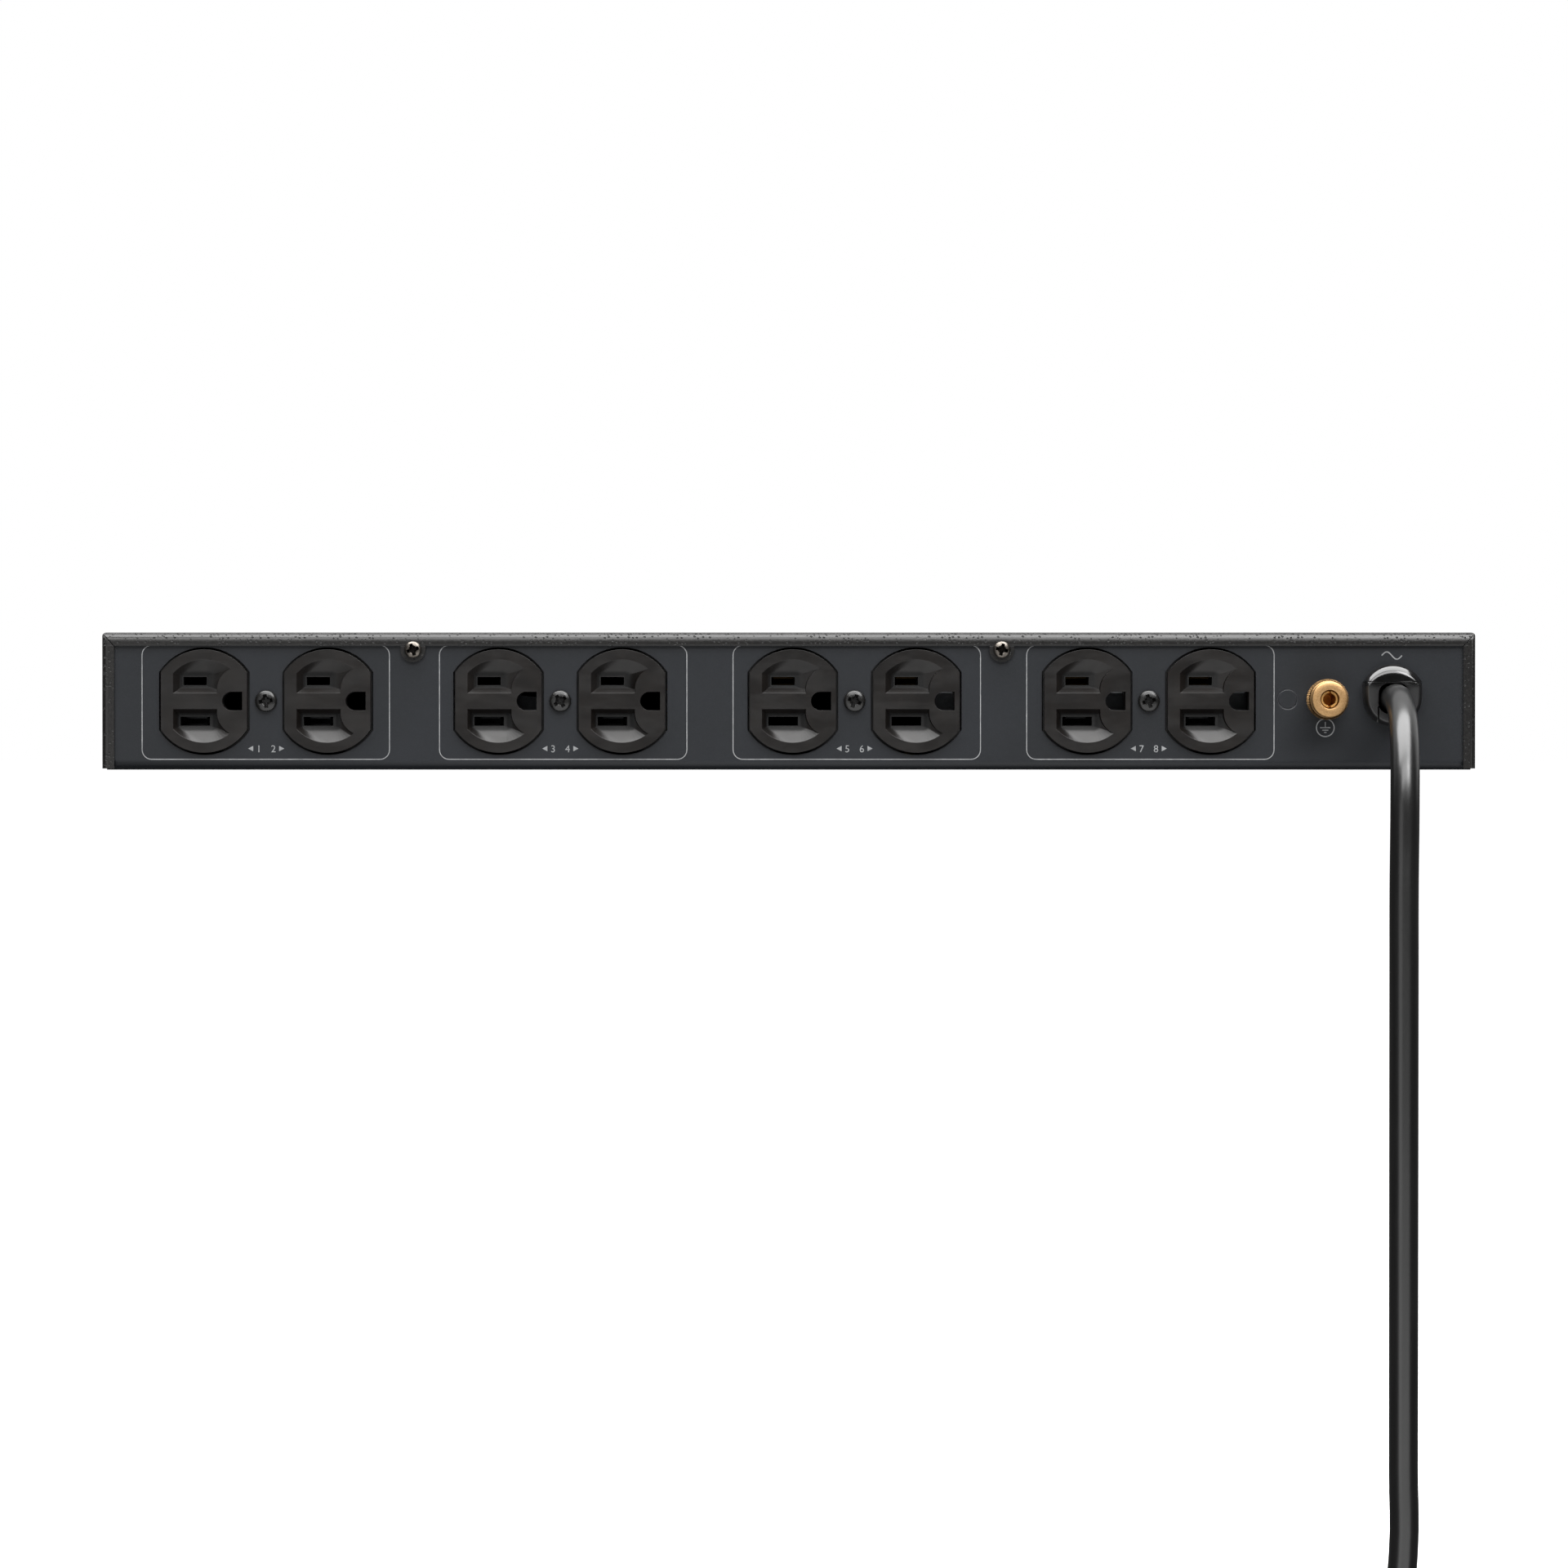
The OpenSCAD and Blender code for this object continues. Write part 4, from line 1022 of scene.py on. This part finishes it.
def gland_outline(inset, y):
    """The bushing's outline: a wide round top, flat sides and a narrower round foot.

    The sides and the foot move in by less than the top does.
    """
    top_r = 10.4
    half_w = 9.15
    across = (half_w - inset * 0.42) / half_w
    steps = 40
    ring = []
    first = math.acos(half_w / top_r)
    for i in range(steps + 1):
        angle = first + (math.pi - 2 * first) * i / steps
        up = top_r * math.sin(angle) * (top_r - inset) / top_r
        ring.append((top_r * math.cos(angle) * across, up))
    for i in range(steps + 1):
        angle = math.pi + math.pi * i / steps
        ring.append((half_w * math.cos(angle) * across, half_w * math.sin(angle) * across))
    return [Vector((gland_x + x * MM, panel_y + y * MM, gland_z + z * MM)) for x, z in ring]


def neck_outline(y):
    """The bushing's neck, which passes through the panel: a circle with flat sides."""
    half = 7.3 * MM
    neck_r = 7.9 * MM
    narrow = []
    for point in gland_outline(1.5, y):
        x = max(-half, min(half, point.x - gland_x))
        rise = math.sqrt(neck_r ** 2 - x * x)
        z = max(-rise, min(rise, point.z - gland_z))
        narrow.append(Vector((gland_x + x, point.y, gland_z + z)))
    return narrow


def box_mesh(name, low, high):
    shape = bmesh.new()
    bmesh.ops.create_cube(shape, size=1)
    low = Vector(low) * MM
    high = Vector(high) * MM
    for vert in shape.verts:
        vert.co = [low[i] + (vert.co[i] + 0.5) * (high[i] - low[i]) for i in range(3)]
    return mesh_from(shape, name)


def cut_by(made, tool_mesh, operation):
    """Cuts an object with a mesh, and leaves it without modifiers."""
    tool = add_object("cutter", tool_mesh)
    boolean = made.modifiers.new("cut", "BOOLEAN")
    boolean.operation = operation
    boolean.solver = "EXACT"
    boolean.object = tool
    made = applied(made, made.name + "_cut")
    bpy.data.objects.remove(tool)
    return made


def gland_shell():
    """The whole bushing without its openings, rounded over at the rear."""
    rounding = 3.7
    depth = 3.4
    side_end = -6.1 + depth
    steps = 12
    rings = [
        neck_outline(9), neck_outline(-0.02), gland_outline(0.35, -0.02), gland_outline(0, -0.35)]
    for i in range(steps + 1):
        angle = math.pi / 2 * i / steps
        inset = rounding * (1 - math.cos(angle))
        rings.append(gland_outline(inset, side_end - depth * math.sin(angle)))
    return loft("gland", rings)


def add_gland():
    """The bushing's two halves, split across, with the cord's way through and its two slots."""
    split = 4.7
    gap = 0.12
    far = 40
    hole = 4.85
    drop = -0.4
    at = Vector((gland_x, panel_y, gland_z)) / MM
    for node, low, high in (
            ("strain_relief_body", -far, split), ("strain_relief_lock", split + gap, far)):
        made = add_object(node, gland_shell())
        half = box_mesh("half", at + Vector((-20, -12, low)), at + Vector((20, 14, high)))
        made = cut_by(made, half, "INTERSECT")
        outline = rounded_loop((-hole, -hole), (hole, hole), 3.4, 8)
        way = [[(at + Vector((x, y, z + drop))) * MM for x, z in outline] for y in (-10, 14)]
        made = cut_by(made, loft("way", way), "DIFFERENCE")
        for side in (-1, 1):
            low_corner = at + Vector((side * hole - 0.25, -10, -12))
            high_corner = at + Vector((side * hole + 0.25, -2.5, drop - 2.4))
            made = cut_by(made, box_mesh("slit", low_corner, high_corner), "DIFFERENCE")
        bevel = made.modifiers.new("edges", "BEVEL")
        bevel.width = 0.22 * MM
        bevel.segments = 2
        bevel.limit_method = "ANGLE"
        bevel.angle_limit = math.radians(42)
        made = applied(made, node + "_finished")
        smooth_by_angle(made.data, 38)
        dressed(made, "glossy_black_nylon")
        place(made, "root", [node])


add_gland()


# ---------- printed marks ----------

INK_T = 0.03


def ribbon(shape, points, width, closed):
    """A thin raised band on the panel, along a line of (x, z) points in millimetres."""
    count = len(points)
    left = []
    right = []
    for i, (x, z) in enumerate(points):
        before = points[i - 1] if i or closed else points[i]
        after = points[(i + 1) % count] if i < count - 1 or closed else points[i]
        along = Vector((after[0] - before[0], after[1] - before[1])).normalized()
        side = Vector((-along.y, along.x)) * width / 2
        left.append((x + side.x, z + side.y))
        right.append((x - side.x, z - side.y))
    rows = []
    for edge, lift in ((left, 0), (right, 0), (right, INK_T), (left, INK_T)):
        rows.append([shape.verts.new((x * MM, panel_y - lift * MM, z * MM)) for x, z in edge])
    for first, second in zip(rows, rows[1:] + rows[:1]):
        skin(shape, first, second, closed)
    if not closed:
        shape.faces.new([row[0] for row in rows])
        shape.faces.new([row[-1] for row in rows][::-1])


def circle_points(x, z, radius, steps=40):
    turns = [2 * math.pi * i / steps for i in range(steps)]
    return [(x + radius * math.cos(turn), z + radius * math.sin(turn)) for turn in turns]


def numeral(shape, text, x, z):
    """A raised numeral on the panel, centred at x and z."""
    height = 2.3
    font_share = 1.38
    curve = bpy.data.curves.new("numeral", "FONT")
    curve.body = text
    curve.size = height * font_share * MM
    curve.align_x = "CENTER"
    curve.extrude = INK_T / 2 * MM
    made = applied(add_object("numeral", curve), "numeral_mesh")
    mesh = made.data
    bpy.data.objects.remove(made)
    spot = (x * MM, panel_y - INK_T / 2 * MM, (z - height / 2) * MM)
    mesh.transform(Matrix.Translation(spot) @ Matrix.Rotation(math.pi / 2, 4, "X"))
    shape.from_mesh(mesh)
    bpy.data.meshes.remove(mesh)


def duplex_frames(shape):
    """The rounded lines round each pair of outlets. Their tops run under the cover's lip.

    Each is printed a little off the middle of its duplex.
    """
    half_wide = 39.1
    shifts = (-0.1, 0.9, 0.7, 0.5)
    for spot, shift in zip(duplex_middles, shifts):
        x = spot.x / MM + shift
        loop = rounded_loop((x - half_wide, -18.4), (x + half_wide, 17.6), 3, 6)
        ribbon(shape, loop, 0.28, True)


def arrow(shape, x, z, way):
    """A small solid triangle that points to its outlet."""
    tips = [(x + way * 1.1, z), (x - way * 0.5, z + 0.85), (x - way * 0.5, z - 0.85)]
    back = [shape.verts.new((a * MM, panel_y, b * MM)) for a, b in tips]
    front = [shape.verts.new((a * MM, panel_y - INK_T * MM, b * MM)) for a, b in tips]
    shape.faces.new(back[::-1])
    shape.faces.new(front)
    skin(shape, back, front)


def earth_symbol(shape):
    x = post_x / MM
    z = -8.4
    ribbon(shape, circle_points(x, z, 2.8), 0.36, True)
    ribbon(shape, [(x, z + 1.85), (x, z + 0.1)], 0.34, False)
    for half, drop in ((1.65, 0.0), (0.98, 0.8), (0.4, 1.5)):
        ribbon(shape, [(x - half, z - drop), (x + half, z - drop)], 0.36, False)


def mains_symbol(shape):
    """A sine wave over the bushing, the usual mark of a mains supply."""
    x = gland_x / MM
    z = 14.4
    half_wide = 3.2
    height = 1.15
    steps = 32
    wave = []
    for i in range(steps + 1):
        turn = 2 * math.pi * i / steps
        wave.append((x + half_wide * (turn / math.pi - 1), z + height * math.sin(turn)))
    ribbon(shape, wave, 0.38, False)


def add_marks():
    """All that is printed on the rear panel, as one thin raised piece."""
    shape = bmesh.new()
    duplex_frames(shape)
    earth_symbol(shape)
    mains_symbol(shape)
    legend_z = -15.0
    arrow_out = 4.6
    numeral_out = 2.3
    for i, spot in enumerate(duplex_middles):
        for number, way in ((2 * i + 1, -1), (2 * i + 2, 1)):
            arrow(shape, spot.x / MM + way * arrow_out, legend_z, way)
            numeral(shape, str(number), spot.x / MM + way * numeral_out, legend_z)
    bmesh.ops.remove_doubles(shape, verts=shape.verts, dist=1e-6)
    marks = add_object("printed_marks", mesh_from(shape, "printed_marks"))
    place(dressed(marks, "legend_ink"), "root")


add_marks()


# ---------- the rest of the pieces ----------

def finish_body():
    softened("base_tray", 0.12, slot="tray_slate_paint")
    softened("top_cover", 0.32, 3, slot="cover_powder_coat")
    softened("front_panel", 0.35, 3, slot="panel_black_anodise")
    for i in DUPLEXES:
        softened(
            f"outlet_face_{i}", 0.5, 4, 24, slot="outlet_black_plastic",
            share=outlet_edge_share, weld=0.08)
        softened(f"outlet_body_{i}", 0.3, slot="inner_grey_plastic")
        softened(f"outlet_yoke_{i}", 0.1, slot="zinc_plate")
    softened("ground_post_stud", 0.15, slot="post_gold_plate")
    softened("ground_post_washer", 0.15, slot="post_gold_plate")
    softened("ground_post_collar", 0.15, slot="post_gold_plate", body="clamp_collar")
    softened("switch_case", 0.4, 3, slot="switch_black_plastic")
    softened("power_rocker", 0.35, 3, 25, slot="switch_black_plastic", body="rocker")
    softened("breaker_case", 0.3, slot="switch_black_plastic")
    softened("breaker_button", 0.45, 3, slot="breaker_button_plastic", body="button")
    softened("breaker_nut", 0.25, slot="nickel_plate")
    softened("power_lamp", 0.1, slot="lamp_lens")


def dress_inner_pieces():
    """CAD nodes that stay as they are get their finishes."""
    rows = {
        "ground_post_nut": "post_gold_plate", "earth_stud": "tray_slate_paint",
        "earth_nut": "zinc_plate", "ring_lugs": "contact_tin", "cord_entry": "cord_black_jacket",
        "filter_board": "board_laminate", "filter_capacitors": "capacitor_yellow",
        "choke_core": "ferrite", "choke_windings": "copper_enamel", "varistors": "varistor_blue",
        "board_standoffs": "contact_brass", "board_screws": "nickel_plate",
        "live_wires": "wire_black", "neutral_wires": "wire_white", "earth_wires": "wire_green",
    }
    for i in DUPLEXES:
        # The outlets' contacts take the darkened copies of brass and tin: painted shade.
        rows[f"outlet_hot_{i}"] = "dull_brass"
        rows[f"outlet_neutral_{i}"] = "dull_tin"
    for node, slot in rows.items():
        made = nodes[node]
        if not made.material_slots:
            made.data.materials.append(finishes[slot])
        for holder in made.material_slots:
            holder.material = finishes[slot]


finish_body()
dress_inner_pieces()


# ---------- stage and lights ----------

def add_floor():
    material, m = shading("floor_white")
    soft = m.noise(m.place(), 3)
    m.surface(
        Base_Color=m.mix(soft, srgb(222, 222, 222), srgb(228, 228, 228)),
        Roughness=0.9,
        Emission_Color=(1.0, 1.0, 1.0, 1.0),
        Emission_Strength=0.75)
    shape = bmesh.new()
    bmesh.ops.create_circle(shape, cap_ends=True, segments=96, radius=40)
    for vert in shape.verts:
        vert.co.z = floor_z
    floor = add_object("floor", mesh_of(shape, "floor"))
    floor.data.materials.append(material)
    # It is only seen: it neither blocks the light from below nor lights the object.
    floor.visible_shadow = False
    floor.visible_diffuse = False
    floor.visible_glossy = False


def add_light(name, at, target, size, power):
    lamp = bpy.data.lights.new(name, "AREA")
    lamp.shape = "RECTANGLE"
    lamp.size = size[0]
    lamp.size_y = size[1]
    lamp.energy = power
    made = add_object(name, lamp)
    made.location = at
    made.rotation_euler = (Vector(target) - Vector(at)).to_track_quat("-Z", "Y").to_euler()


def light_studio():
    """Soft boxes overhead, high in front, left, high right and low in front, and white behind."""
    aim = (0, -0.2, 0)
    add_light("overhead", (0, -0.4, 1.15), aim, (1.9, 1.1), 58)
    add_light("slanted", (0.1, -1.35, 0.95), aim, (1.6, 0.6), 20)
    add_light("left_panel", (-0.8, -1.62, 0.0), (0.1, -0.2, 0), (0.8, 0.9), 2.1)
    add_light("right_panel", (0.8, -1.35, 1.0), (0.1, -0.2, 0), (0.6, 0.6), 8)
    add_light("low_fill", (0.1, -1.15, -0.75), aim, (2.0, 1.3), 13)
    world = bpy.data.worlds.new("surround")
    world.use_nodes = True
    world.node_tree.nodes.clear()
    m = Maker(world.node_tree)
    seen = m.add("ShaderNodeLightPath", output="Is Camera Ray")
    _, away, up = m.split(m.add("ShaderNodeTexCoord", output="Generated"))
    # Bright behind and above the object, nearly black elsewhere.
    backdrop = away.step(0.0, 0.4) * up.step(0.04, 0.2)
    white = (1.0, 1.0, 1.0, 1.0)
    lit = m.add("ShaderNodeBackground", None, {"Color": white, "Strength": backdrop * 0.8 + 0.08})
    shown = m.add("ShaderNodeBackground", None, {"Color": white, "Strength": 1.0})
    both = m.add("ShaderNodeMixShader", None, {0: seen, 1: lit, 2: shown})
    m.add("ShaderNodeOutputWorld", None, {"Surface": both})
    scene.world = world
    scene.view_settings.view_transform = "Standard"


add_floor()
light_studio()
